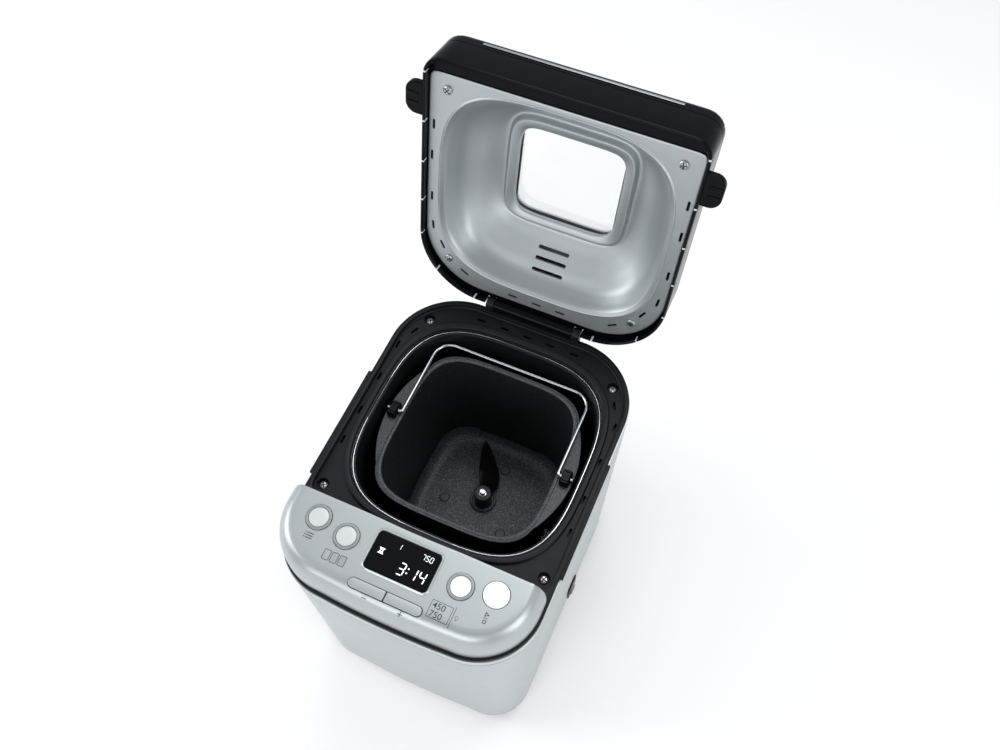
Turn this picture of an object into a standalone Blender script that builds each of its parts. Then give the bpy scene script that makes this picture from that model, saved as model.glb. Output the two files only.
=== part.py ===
"""Compact bread machine with its lid open, in metres, +Z up, front towards -Y.

Every part is modelled about the baking chamber's vertical axis, with z = 0 on the
surface that the feet stand on. The lid's parts are modelled closed and are turned
open by the empty on the hinge axis that carries them.
"""

import math

import bmesh
import bpy
from mathutils import Matrix

# Housing
CHAMBER_Y = -0.01844  # the chamber's axis, which centres the open machine on the origin
HALF_WIDTH = 0.1114
FRONT = -0.1774
REAR = 0.1216
FRONT_RADIUS = 0.055
REAR_RADIUS = 0.062
SIDE_TAPER = 0.0046
FRONT_TAPER = 0.0040
REAR_TAPER = 0.0066
CORNER_TAPER = 0.018  # the front corners are this much sharper at the floor
SHELL_BOTTOM = 0.005
SHELL_TOP = 0.2456
WALL = 0.002
GAP = 0.0003
TRIM_HEIGHT = 0.0088
DECK_SKIRT = SHELL_TOP + 2 * GAP + TRIM_HEIGHT + GAP
DECK_TOP = 0.2595
CHANNEL_FLOOR = 0.255

# Control panel
PANEL_BACK = -0.1084
PANEL_TOP = 0.290
PANEL_BOTTOM = DECK_TOP + GAP
BUTTON_RADIUS = 0.0103
BUTTON_PLACES = {
    "program_button": (-0.0750, -0.1264),
    "crust_button": (-0.0482, -0.1314),
    "weight_button": (0.0482, -0.1314),
    "start_button": (0.0750, -0.1264),
}
DISPLAY_SIZE = (0.0530, 0.0318)
DISPLAY_Y = -0.1313
KEY_BAR = (0.0610, 0.0080)
KEY_BAR_Y = -0.1608

# Chamber and drive
RIM_HALF = 0.0943
RIM_TOP = 0.2532
LINER_TOP = 0.2522
LINER_BOTTOM = 0.0658
LINER_FLOOR = 0.0670
CHASSIS = (0.0640, 0.0655)
MOTOR_X = -0.040
MOTOR_Y = -0.134
SHAFT_RADIUS = 0.004
DRIVE_PULLEY_RADIUS = 0.040
MOTOR_PULLEY_RADIUS = 0.010
BELT_LEVEL = 0.051

# Bread pan
PAN_FLOOR = 0.1050
PAN_TOP = 0.2380
PAN_HALF = 0.0722
PAN_RIM = 0.0770
PAN_SHEET = 0.0016
FLANGE_REACH = 0.0885
BAIL_Z = 0.2410
BAIL_WIRE = 0.0015
BAIL_ARM_X = 0.0738
BAIL_LENGTH = 0.0797
BLADE_ROOT_TURN = math.radians(66)
BLADE_TIP_TURN = math.radians(110)

# Lid, closed
HINGE_Y = 0.1206
HINGE_Z = 0.2660
LID_OPEN = math.radians(103.08)
LID_HALF = 0.1116
LID_FRONT = -0.1072
LID_REAR = 0.1176
LID_BOTTOM = DECK_TOP + GAP
LID_FRAME_TOP = 0.2965
LID_TOP = 0.3180
LINING_Z = 0.2668
WINDOW_Y = -0.0005
WINDOW_HALF = (0.0435, 0.0408)
HINGE_HALF = 0.0450
BARREL_HALF = 0.0378

ARC_STEPS = 5
SIDE_STEPS = 3


# ---------------------------------------------------------------- outlines


def rounded(half_x, front, rear, front_radius, rear_radius, arc=ARC_STEPS, side=SIDE_STEPS):
    """A rectangle with round corners, anticlockwise from its rear right corner."""
    corners = (
        (half_x - rear_radius, rear - rear_radius, rear_radius, 0),
        (-half_x + rear_radius, rear - rear_radius, rear_radius, 90),
        (-half_x + front_radius, front + front_radius, front_radius, 180),
        (half_x - front_radius, front + front_radius, front_radius, 270),
    )
    arcs = []
    for x, y, radius, start in corners:
        angles = [math.radians(start + 90 * step / arc) for step in range(arc + 1)]
        arcs.append([(x + radius * math.cos(a), y + radius * math.sin(a)) for a in angles])
    points = []
    for index, stretch in enumerate(arcs):
        points += stretch
        following = arcs[(index + 1) % 4][0]
        for step in range(1, side):
            share = step / side
            x = stretch[-1][0] * (1 - share) + following[0] * share
            y = stretch[-1][1] * (1 - share) + following[1] * share
            points.append((x, y))
    return points


def squircle_reach(angle, half_x, half_y, power):
    """Distance from the middle of a rounded square to its edge, at one angle."""
    across = abs(math.cos(angle) / half_x) ** power
    along = abs(math.sin(angle) / half_y) ** power
    return (across + along) ** (-1 / power)


def squircle(half_x, half_y=None, y=0.0, power=3.3, count=40):
    """A rounded square with slightly bowed sides."""
    points = []
    for step in range(count):
        angle = math.tau * step / count
        reach = squircle_reach(angle, half_x, half_y or half_x, power)
        points.append((reach * math.cos(angle), y + reach * math.sin(angle)))
    return points


def facing(outline, half_x, half_y, y=0.0, power=3.3):
    """A rounded square with one point in line with each point of another outline."""
    points = []
    for px, py in outline:
        angle = math.atan2(py - y, px)
        reach = squircle_reach(angle, half_x, half_y, power)
        points.append((reach * math.cos(angle), y + reach * math.sin(angle)))
    return points


def circle(radius, x=0.0, y=0.0, count=20):
    angles = [math.tau * step / count for step in range(count)]
    return [(x + radius * math.cos(a), y + radius * math.sin(a)) for a in angles]


def housing(z, inset=0.0):
    """The housing's outline at a height: it narrows a little towards the floor."""
    share = max(0.0, (SHELL_TOP - z) / SHELL_TOP)
    return rounded(
        HALF_WIDTH - SIDE_TAPER * share - inset,
        FRONT + FRONT_TAPER * share + inset,
        REAR - REAR_TAPER * share - inset,
        FRONT_RADIUS - CORNER_TAPER * share - inset,
        REAR_RADIUS - inset,
    )


def lid_outline(inset=0.0):
    return rounded(
        LID_HALF - inset,
        LID_FRONT + inset,
        LID_REAR - inset,
        0.016 - min(inset, 0.012),
        0.060 - inset,
    )


# ---------------------------------------------------------------- solids


def add_rings(bm, rings, loop=False):
    """Joins outlines of equal count, each at one height or at a height for each of its points.

    A loop makes a tube wall, otherwise the ends are capped.
    """
    rows = []
    for outline, z in rings:
        heights = z if isinstance(z, list) else [z] * len(outline)
        rows.append([bm.verts.new((x, y, height)) for (x, y), height in zip(outline, heights)])
    pairs = list(zip(rows, rows[1:]))
    if loop:
        pairs.append((rows[-1], rows[0]))
    for low, high in pairs:
        for index in range(len(low)):
            after = (index + 1) % len(low)
            bm.faces.new((low[index], low[after], high[after], high[index]))
    if not loop:
        bm.faces.new(list(reversed(rows[0])))
        bm.faces.new(rows[-1])


def add_turned(bm, profile, x=0.0, y=0.0, count=20, loop=False):
    """Turns (radius, z) steps about a vertical axis."""
    add_rings(bm, [(circle(radius, x, y, count), z) for radius, z in profile], loop)


def add_box(bm, low, high):
    size = [b - a for a, b in zip(low, high)]
    middle = [(a + b) / 2 for a, b in zip(low, high)]
    matrix = Matrix.Translation(middle) @ Matrix.Diagonal((*size, 1.0))
    bmesh.ops.create_cube(bm, size=1.0, matrix=matrix)


def add_rod(bm, start, end, radius, count=20):
    """A cylinder along X, Y or Z between two points."""
    middle = [(a + b) / 2 for a, b in zip(start, end)]
    lengths = [abs(b - a) for a, b in zip(start, end)]
    depth = max(lengths)
    turns = {0: Matrix.Rotation(math.pi / 2, 4, "Y"), 1: Matrix.Rotation(math.pi / 2, 4, "X")}
    turn = turns.get(lengths.index(depth), Matrix.Identity(4))
    bmesh.ops.create_cone(
        bm,
        cap_ends=True,
        segments=count,
        radius1=radius,
        radius2=radius,
        depth=depth,
        matrix=Matrix.Translation(middle) @ turn,
    )


def material(name, colour, roughness, metallic=0.0):
    made = bpy.data.materials.new(name)
    made.use_nodes = True
    shader = made.node_tree.nodes["Principled BSDF"]
    shader.inputs["Base Color"].default_value = (*colour, 1.0)
    shader.inputs["Roughness"].default_value = roughness
    shader.inputs["Metallic"].default_value = metallic
    return made


def link(name, bm, parent):
    bmesh.ops.recalc_face_normals(bm, faces=bm.faces)
    mesh = bpy.data.meshes.new(name)
    bm.to_mesh(mesh)
    bm.free()
    obj = bpy.data.objects.new(name, mesh)
    bpy.context.scene.collection.objects.link(obj)
    obj.parent = parent
    return obj


def part(name, bm, finish, parent):
    obj = link(name, bm, parent)
    obj.data.materials.append(finish)
    obj.data.shade_smooth()
    obj.data.set_sharp_from_angle(angle=math.radians(32))
    return obj


def combine(obj, name, bm, operation="DIFFERENCE"):
    """Cuts a helper's shape from an object, or joins it on."""
    helper = link(name, bm, obj.parent)
    helper.location = obj.location
    helper.hide_render = True
    helper.display_type = "WIRE"
    modifier = obj.modifiers.new(name, "BOOLEAN")
    modifier.object = helper
    modifier.operation = operation
    modifier.solver = "EXACT"
    modifier.use_self = True


def bevel(obj, width, segments=2, angle=40):
    modifier = obj.modifiers.new("edge", "BEVEL")
    modifier.width = width
    modifier.segments = segments
    modifier.limit_method = "ANGLE"
    modifier.angle_limit = math.radians(angle)


def joint_empty(name, place, parent):
    empty = bpy.data.objects.new(name, None)
    bpy.context.scene.collection.objects.link(empty)
    empty.location = place
    empty.parent = parent
    return empty


# ---------------------------------------------------------------- housing


def make_body_shell(root, finish):
    outer = [
        (housing(SHELL_BOTTOM, 0.0060), SHELL_BOTTOM),
        (housing(0.0070, 0.0026), 0.0070),
        (housing(0.0105, 0.0007), 0.0105),
        (housing(0.0150), 0.0150),
        (housing(SHELL_TOP), SHELL_TOP),
    ]
    inner = [
        (housing(SHELL_TOP, WALL), SHELL_TOP),
        (housing(0.0150, WALL), 0.0150),
        (housing(SHELL_BOTTOM, 0.0060 + WALL), SHELL_BOTTOM),
    ]
    bm = bmesh.new()
    add_rings(bm, outer + inner, loop=True)
    shell = part("body_shell", bm, finish, root)
    cutter = bmesh.new()
    for row in range(3):
        for column in range(6):
            x = -0.040 + 0.016 * column
            z = 0.050 + 0.016 * row
            add_box(cutter, (x - 0.0055, 0.105, z - 0.0016), (x + 0.0055, 0.130, z + 0.0016))
    add_rod(cutter, (0.060, 0.100, 0.028), (0.060, 0.130, 0.028), 0.0066)
    add_box(cutter, (0.098, -0.0356, 0.0326), (0.120, -0.0204, 0.0574))
    combine(shell, "shell_openings", cutter)


def make_trim_band(root, finish):
    low = SHELL_TOP + 2 * GAP
    high = low + TRIM_HEIGHT
    bm = bmesh.new()
    rings = [
        (housing(SHELL_TOP, 0.0004), low),
        (housing(SHELL_TOP), low + 0.0005),
        (housing(SHELL_TOP), high - 0.0005),
        (housing(SHELL_TOP, 0.0004), high),
        (housing(SHELL_TOP, 0.0024), high),
        (housing(SHELL_TOP, 0.0024), low),
    ]
    add_rings(bm, rings, loop=True)
    part("trim_band", bm, finish, root)


def make_base_plate(root, finish):
    bm = bmesh.new()
    add_rings(bm, [(housing(0.006, 0.0088), 0.0060), (housing(0.006, 0.0088), 0.0085)])
    plate = part("base_plate", bm, finish, root)
    cutter = bmesh.new()
    for side in (-1, 1):
        for row in range(6):
            y = -0.075 + 0.018 * row
            low, high = sorted((side * 0.030, side * 0.072))
            add_box(cutter, (low, y - 0.0025, 0.0), (high, y + 0.0025, 0.02))
    combine(plate, "base_vents", cutter)


def make_feet(root, finish):
    for name, x, y in (
        ("foot_front_left", -0.072, -0.135),
        ("foot_front_right", 0.072, -0.135),
        ("foot_rear_left", -0.072, 0.078),
        ("foot_rear_right", 0.072, 0.078),
    ):
        bm = bmesh.new()
        add_turned(bm, [(0.0085, 0.0), (0.0095, 0.0010), (0.0100, 0.0057)], count=20)
        foot = part(name, bm, finish, root)
        foot.location = (x, y, 0.0)


def make_deck_frame(root, finish):
    bm = bmesh.new()
    rings = [
        (housing(SHELL_TOP, 0.0034), 0.2484),
        (housing(SHELL_TOP, 0.0034), DECK_SKIRT),
        (housing(SHELL_TOP, 0.0008), DECK_SKIRT),
        (housing(SHELL_TOP, 0.0008), DECK_TOP - 0.0006),
        (housing(SHELL_TOP, 0.0014), DECK_TOP),
    ]
    add_rings(bm, rings)
    deck = part("deck_frame", bm, finish, root)
    ledges = bmesh.new()
    for side in (-1, 1):
        low, high = sorted((side * 0.1080, side * 0.1132))
        add_box(ledges, (low, -0.0874, DECK_SKIRT + 0.0003), (high, 0.0176, DECK_TOP - 0.0004))
    combine(deck, "deck_ledges", ledges, "UNION")
    chamber = bmesh.new()
    steps = [
        (0.0964, 0.240),
        (0.0964, 0.2525),
        (0.0956, 0.2525),
        (0.0957, 0.2566),
        (0.0974, 0.2583),
        (0.1030, 0.2583),
        (0.1030, 0.270),
    ]
    add_rings(chamber, [(squircle(half), z) for half, z in steps])
    combine(deck, "deck_chamber_opening", chamber)
    channel = bmesh.new()
    outer = rounded(HALF_WIDTH - 0.0052, -0.1032, REAR - 0.0054, 0.012, 0.0566)
    inner = facing(outer, 0.1016, 0.1012)
    add_rings(
        channel,
        [(outer, CHANNEL_FLOOR), (outer, 0.270), (inner, 0.270), (inner, CHANNEL_FLOOR)],
        loop=True,
    )
    combine(deck, "deck_channel", channel)
    combine(deck, "deck_pocket", deck_openings())
    lugs = bmesh.new()
    for side in (-1, 1):
        low, high = sorted((side * (BARREL_HALF + 0.0004), side * HINGE_HALF))
        add_rod(lugs, (low, HINGE_Y, HINGE_Z), (high, HINGE_Y, HINGE_Z), 0.0057)
        add_box(lugs, (low, HINGE_Y - 0.0056, 0.2560), (high, HINGE_Y + 0.0010, HINGE_Z - 0.001))
    combine(deck, "hinge_lugs", lugs, "UNION")
    bores = bmesh.new()
    add_rod(bores, (-0.05, HINGE_Y, HINGE_Z), (0.05, HINGE_Y, HINGE_Z), 0.0022)
    combine(deck, "hinge_bores", bores)


def deck_openings():
    """Board pocket under the control panel, screw wells, and the channel's vent slots."""
    cutter = bmesh.new()
    add_box(cutter, (-0.085, -0.158, 0.240), (0.085, -0.1125, 0.270))
    for x, y in deck_screw_places():
        add_turned(cutter, [(0.0052, 0.2506), (0.0052, 0.2560)], x, y, 16)
    for side in (-1, 1):
        for y in (-0.0485, -0.0180, 0.0180, 0.0534):
            x = side * 0.1034
            add_box(cutter, (x - 0.0011, y - 0.0042, 0.240), (x + 0.0011, y + 0.0042, 0.2556))
    for x in (-0.045, -0.022, 0.0, 0.022, 0.045):
        add_box(cutter, (x - 0.0042, 0.1040, 0.240), (x + 0.0042, 0.1062, 0.2556))
    return cutter


def deck_screw_places():
    return [(-0.0990, -0.0910), (0.0990, -0.0910), (-0.0886, 0.0886), (0.0886, 0.0886)]


def screw_mesh(length):
    """A pan-head screw with a cross recess, its head's underside at z = 0."""
    bm = bmesh.new()
    profile = [(0.0013, -length), (0.0015, -length + 0.001), (0.0015, 0.0)]
    profile += [(0.0036, 0.0), (0.0036, 0.0012), (0.0024, 0.0021)]
    add_turned(bm, profile, count=12)
    return bm


def cross_recess():
    bm = bmesh.new()
    add_box(bm, (-0.0021, -0.0004, 0.0012), (0.0021, 0.0004, 0.0040))
    for side in (-1, 1):
        low, high = sorted((side * 0.0004, side * 0.0021))
        add_box(bm, (-0.0004, low, 0.0012), (0.0004, high, 0.0040))
    return bm


def make_screws(names, places, z, length, turn, finish, parent):
    for name, (x, y) in zip(names, places):
        screw = part(name, screw_mesh(length), finish, parent)
        screw.location = (x, y, z)
        screw.rotation_euler = (turn, 0.0, math.radians(35 if x < 0 else -20))


# ---------------------------------------------------------------- controls


def panel_outline(inset, front_inset=None):
    front_inset = inset if front_inset is None else front_inset
    return rounded(
        HALF_WIDTH + 0.0010 - inset,
        FRONT + front_inset,
        PANEL_BACK,
        FRONT_RADIUS - inset,
        0.005,
    )


def make_control_panel(root, finish):
    """A moulded cover: flat on top, rolled down to the deck at the front and the sides."""
    roll = ((0.0034, PANEL_BOTTOM), (0.0036, 0.2700), (0.0050, 0.2790), (0.0086, 0.2858), (0.0128, 0.2892))
    outer = [(panel_outline(inset), z) for inset, z in roll]
    outer.append((panel_outline(0.0150), PANEL_TOP))
    skin = 0.0022
    inner = []
    for inset, z in reversed(roll[1:]):
        ring = [(x, min(y, PANEL_BACK - skin)) for x, y in panel_outline(inset + skin)]
        inner.append((ring, z - 0.0017))
    bottom = [(x, min(y, PANEL_BACK - skin)) for x, y in panel_outline(roll[0][0] + skin)]
    inner.append((bottom, PANEL_BOTTOM))
    bm = bmesh.new()
    add_rings(bm, [(bottom, PANEL_BOTTOM)] + outer)
    bm.faces.ensure_lookup_table()
    panel = part("control_panel", bm, finish, root)
    hollow = bmesh.new()
    add_rings(hollow, [(bottom, PANEL_BOTTOM - 0.01)] + list(reversed(inner)))
    combine(panel, "panel_hollow", hollow)
    holes = bmesh.new()
    for x, y in BUTTON_PLACES.values():
        add_turned(holes, [(BUTTON_RADIUS + GAP, 0.280), (BUTTON_RADIUS + GAP, 0.295)], x, y)
    add_rings(holes, [(plaque(DISPLAY_SIZE, DISPLAY_Y, 0.004, GAP), z) for z in (0.280, 0.295)])
    add_rings(holes, [(plaque(KEY_BAR, KEY_BAR_Y, 0.0039, GAP), z) for z in (0.280, 0.295)])
    combine(panel, "panel_holes", holes)


def plaque(size, y, radius, grow=0.0):
    """A small rounded rectangle on the control panel."""
    half_x = size[0] / 2 + grow
    half_y = size[1] / 2 + grow
    return rounded(half_x, y - half_y, y + half_y, radius, radius, arc=4, side=1)


def make_buttons(root, finish):
    for name, (x, y) in BUTTON_PLACES.items():
        bm = bmesh.new()
        profile = [
            (0.0030, 0.2812),
            (0.0030, 0.2868),
            (BUTTON_RADIUS, 0.2868),
            (BUTTON_RADIUS, 0.2906),
            (BUTTON_RADIUS - 0.0006, 0.2912),
            (0.0084, 0.2912),
            (0.0078, 0.2906),
        ]
        add_turned(bm, profile)
        button = part(name, bm, finish, root)
        button.location = (x, y, 0.0)


def make_keys(root, finish):
    """Two halves of one long bar, a tenth of a millimetre or so short of the divider."""
    for name, side in (("minus_key", -1), ("plus_key", 1)):
        bm = bmesh.new()
        bar = plaque((KEY_BAR[0] - 0.0006, KEY_BAR[1] - 0.0006), KEY_BAR_Y, 0.0036)
        half = [(max(side * x, 0.0005) * side, y) for x, y in bar]
        inner = [(max(side * x * 0.97, 0.0010) * side, KEY_BAR_Y + (y - KEY_BAR_Y) * 0.84) for x, y in bar]
        add_rings(bm, [(half, 0.2860), (half, 0.2908), (inner, 0.2914)])
        bmesh.ops.remove_doubles(bm, verts=bm.verts, dist=0.00002)
        stem = bmesh.new()
        add_turned(stem, [(0.0025, 0.2812), (0.0025, 0.2870)], side * 0.015, KEY_BAR_Y + 0.0008, 16)
        combine(part(name, bm, finish, root), name + "_stem", stem, "UNION")


def make_display(root, finish_window, finish_bezel):
    bm = bmesh.new()
    add_rings(bm, [(plaque(DISPLAY_SIZE, DISPLAY_Y, 0.0038), z) for z in (0.2876, 0.2897)])
    part("display_window", bm, finish_window, root)
    bm = bmesh.new()
    inner = plaque(DISPLAY_SIZE, DISPLAY_Y, 0.0042, 0.0004)
    outer = plaque(DISPLAY_SIZE, DISPLAY_Y, 0.0062, 0.0024)
    crest = plaque(DISPLAY_SIZE, DISPLAY_Y, 0.0052, 0.0016)
    low = PANEL_TOP + GAP
    add_rings(bm, [(outer, low), (crest, low + 0.0007), (inner, low + 0.0007), (inner, low)], loop=True)
    part("display_bezel", bm, finish_bezel, root)


def make_control_board(root, finish):
    bm = bmesh.new()
    add_box(bm, (-0.080, -0.1622, 0.2740), (0.080, -0.1130, 0.2756))
    board = part("control_board", bm, finish, root)
    switches = bmesh.new()
    add_box(switches, (-0.0290, -0.1490, 0.2750), (0.0290, -0.1140, 0.2870))
    for x, y in BUTTON_PLACES.values():
        add_box(switches, (x - 0.003, y - 0.003, 0.2750), (x + 0.003, y + 0.003, 0.2792))
    for side in (-1, 1):
        x = side * 0.015
        add_box(switches, (x - 0.003, -0.1618, 0.2750), (x + 0.003, -0.1558, 0.2792))
    combine(board, "board_switches", switches, "UNION")


def make_power_board(root, finish):
    bm = bmesh.new()
    add_box(bm, (0.012, -0.1180, 0.100), (0.088, -0.1164, 0.200))
    board = part("power_board", bm, finish, root)
    components = bmesh.new()
    add_box(components, (0.020, -0.1420, 0.110), (0.050, -0.1170, 0.140))
    add_box(components, (0.056, -0.1400, 0.112), (0.078, -0.1170, 0.130))
    add_rod(components, (0.030, -0.1440, 0.170), (0.030, -0.1170, 0.170), 0.008, 16)
    add_rod(components, (0.056, -0.1360, 0.165), (0.056, -0.1170, 0.165), 0.006, 16)
    combine(board, "board_components", components, "UNION")


def make_power_switch(root, finish):
    """Rocker switch in the right-hand wall: a fixed housing and its rocker."""
    bm = bmesh.new()
    add_box(bm, (0.0950, -0.0350, 0.0332), (0.1088, -0.0210, 0.0568))
    bezel = part("switch_housing", bm, finish, root)
    flange = bmesh.new()
    add_box(flange, (0.1082, -0.0372, 0.0310), (0.1096, -0.0188, 0.0590))
    recess = bmesh.new()
    add_box(recess, (0.0985, -0.0338, 0.0344), (0.1120, -0.0222, 0.0556))
    combine(bezel, "switch_flange", flange, "UNION")
    combine(bezel, "switch_recess", recess)
    pivot = joint_empty("switch_pivot", (0.1062, -0.0280, 0.0450), root)
    bm = bmesh.new()
    add_box(bm, (-0.0042, -0.0054, -0.0096), (0.0040, 0.0054, 0.0096))
    rocker = part("power_switch", bm, finish, pivot)
    pivot.rotation_euler = (0.0, math.radians(-7), 0.0)
    bevel(rocker, 0.0008)


# ---------------------------------------------------------------- chamber


def make_oven_liner(root, finish, finish_rim):
    """Steel oven pot with a turned-out lip, holes for the drive, the heater and the sensor."""
    walls = ((0.0840, LINER_BOTTOM), (0.0880, 0.0700), (0.0934, LINER_TOP - 0.0010))
    sheet = 0.0010
    bm = bmesh.new()
    rings = [(squircle(half), z) for half, z in walls]
    rings += [(squircle(0.0958), LINER_TOP - 0.0010), (squircle(0.0958), LINER_TOP)]
    rings += [(squircle(0.0932 - sheet), LINER_TOP)]
    rings += [(squircle(0.0880 - sheet), 0.0708), (squircle(0.0840 - sheet), LINER_FLOOR)]
    add_rings(bm, rings)
    liner = part("oven_liner", bm, finish, root)
    holes = bmesh.new()
    add_turned(holes, [(0.0092, 0.050), (0.0092, 0.080)], count=24)
    for side in (-1, 1):
        add_rod(holes, (side * 0.012, 0.080, 0.0800), (side * 0.012, 0.100, 0.0800), 0.0040, 16)
    add_rod(holes, (0.030, -0.100, 0.150), (0.030, -0.080, 0.150), 0.0036, 16)
    combine(liner, "liner_holes", holes)
    bm = bmesh.new()
    low = LINER_TOP + GAP
    rings = [(squircle(0.0952), low), (squircle(0.0952), RIM_TOP - 0.0003), (squircle(0.0948), RIM_TOP)]
    rings += [(squircle(0.0938), RIM_TOP), (squircle(0.0934), RIM_TOP - 0.0003), (squircle(0.0934), low)]
    add_rings(bm, rings, loop=True)
    part("liner_rim", bm, finish_rim, root)


def make_heating_element(root, finish):
    """A sheathed rod round the chamber floor, its two ends out through the rear wall."""
    level = 0.0800
    start = math.radians(90 + 9)
    span = math.radians(360 - 18)
    steps = 34
    path = [(-0.012, 0.0965), (-0.012, 0.0860)]
    for step in range(steps + 1):
        angle = start + span * step / steps
        reach = squircle_reach(angle, 0.0795, 0.0795, 3.3)
        path.append((reach * math.cos(angle), reach * math.sin(angle)))
    path += [(0.012, 0.0860), (0.012, 0.0965)]
    wire("heating_element", [(x, y, level) for x, y in path], 0.0032, 2, finish, root)


def wire(name, points, radius, resolution, finish, parent):
    curve = bpy.data.curves.new(name, "CURVE")
    curve.dimensions = "3D"
    curve.bevel_depth = radius
    curve.bevel_resolution = resolution
    curve.use_fill_caps = True
    spline = curve.splines.new("POLY")
    spline.points.add(len(points) - 1)
    for point, place in zip(spline.points, points):
        point.co = (*place, 1.0)
    curve.materials.append(finish)
    obj = bpy.data.objects.new(name, curve)
    bpy.context.scene.collection.objects.link(obj)
    obj.parent = parent
    return obj


def make_temperature_sensor(root, finish):
    bm = bmesh.new()
    add_rod(bm, (0.030, -0.0990, 0.150), (0.030, -0.0820, 0.150), 0.0030, 16)
    part("temperature_sensor", bm, finish, root)


def make_pan_clips(root, finish):
    """Sprung steel clips on the chamber floor that hold the pan's base ring."""
    for name, side in (("pan_clip_left", -1), ("pan_clip_right", 1)):
        bm = bmesh.new()
        low, high = sorted((side * 0.0576, side * 0.0680))
        add_box(bm, (low, -0.010, LINER_FLOOR + GAP), (high, 0.010, 0.0683))
        clip = part(name, bm, finish, root)
        low, high = sorted((side * 0.0576, side * 0.0588))
        spring = bmesh.new()
        add_box(spring, (low, -0.010, 0.0676), (high, 0.010, 0.0880))
        combine(clip, name + "_spring", spring, "UNION")


def make_chassis(root, finish):
    bm = bmesh.new()
    low, high = CHASSIS
    add_rings(bm, [(rounded(0.082, -0.166, 0.082, 0.012, 0.030, 3, 1), z) for z in (low, high)])
    chassis = part("chassis", bm, finish, root)
    legs = bmesh.new()
    for x in (-0.066, 0.066):
        for y in (-0.100, 0.060):
            add_box(legs, (x - 0.005, y - 0.005, 0.0088), (x + 0.005, y + 0.005, 0.0646))
    combine(chassis, "chassis_legs", legs, "UNION")
    holes = bmesh.new()
    add_turned(holes, [(0.0092, 0.050), (0.0092, 0.080)], count=24)
    add_turned(holes, [(0.0060, 0.050), (0.0060, 0.080)], MOTOR_X, MOTOR_Y, 20)
    combine(chassis, "chassis_holes", holes)


def make_motor(root, finish):
    bm = bmesh.new()
    profile = [(0.0280, 0.0658), (0.0290, 0.0668), (0.0290, 0.1250), (0.0275, 0.1265)]
    profile += [(0.0090, 0.1265), (0.0090, 0.1310), (0.0080, 0.1320)]
    add_turned(bm, profile)
    motor = part("motor", bm, finish, root)
    motor.location = (MOTOR_X, MOTOR_Y, 0.0)
    bore = bmesh.new()
    add_turned(bore, [(0.0034, 0.060), (0.0034, 0.0750)], count=16)
    combine(motor, "motor_bore", bore)


def make_motor_pulley(root, finish):
    bm = bmesh.new()
    flange = MOTOR_PULLEY_RADIUS + 0.002
    low = BELT_LEVEL - 0.0055
    profile = [(flange, low), (flange, low + 0.002), (MOTOR_PULLEY_RADIUS, low + 0.0022)]
    profile += [(MOTOR_PULLEY_RADIUS, low + 0.0088), (flange, low + 0.009), (flange, low + 0.011)]
    profile += [(0.0030, low + 0.011), (0.0030, 0.0735)]
    add_turned(bm, profile, count=24)
    pulley = part("motor_pulley", bm, finish, root)
    pulley.location = (MOTOR_X, MOTOR_Y, 0.0)


def make_drive_pulley(root, finish):
    bm = bmesh.new()
    flange = DRIVE_PULLEY_RADIUS + 0.002
    low = BELT_LEVEL - 0.0055
    profile = [(flange, low), (flange, low + 0.002), (DRIVE_PULLEY_RADIUS, low + 0.0022)]
    profile += [(DRIVE_PULLEY_RADIUS, low + 0.0088), (flange, low + 0.009), (flange, low + 0.011)]
    profile += [(SHAFT_RADIUS + GAP, low + 0.011), (SHAFT_RADIUS + GAP, low)]
    add_turned(bm, profile, count=30, loop=True)
    pulley = part("drive_pulley", bm, finish, root)
    holes = bmesh.new()
    for step in range(5):
        angle = math.tau * step / 5
        x = 0.0235 * math.cos(angle)
        y = 0.0235 * math.sin(angle)
        add_turned(holes, [(0.0085, 0.040), (0.0085, 0.060)], x, y, 10)
    combine(pulley, "pulley_holes", holes)


def belt_outline(offset):
    """The line round both pulleys, at a distance outside their grooves."""
    large = DRIVE_PULLEY_RADIUS + offset
    small = MOTOR_PULLEY_RADIUS + offset
    span = math.hypot(MOTOR_X, MOTOR_Y)
    towards = math.atan2(MOTOR_Y, MOTOR_X)
    lean = math.acos((large - small) / span)
    points = []
    for step in range(19):
        angle = towards + lean + (math.tau - 2 * lean) * step / 18
        points.append((large * math.cos(angle), large * math.sin(angle)))
    for step in range(9):
        angle = towards - lean + 2 * lean * step / 8
        points.append((MOTOR_X + small * math.cos(angle), MOTOR_Y + small * math.sin(angle)))
    return points


def make_drive_belt(root, finish):
    bm = bmesh.new()
    inner = belt_outline(0.0003)
    outer = belt_outline(0.0017)
    low = BELT_LEVEL - 0.0028
    high = BELT_LEVEL + 0.0028
    add_rings(bm, [(outer, low), (outer, high), (inner, high), (inner, low)], loop=True)
    part("drive_belt", bm, finish, root)


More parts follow.
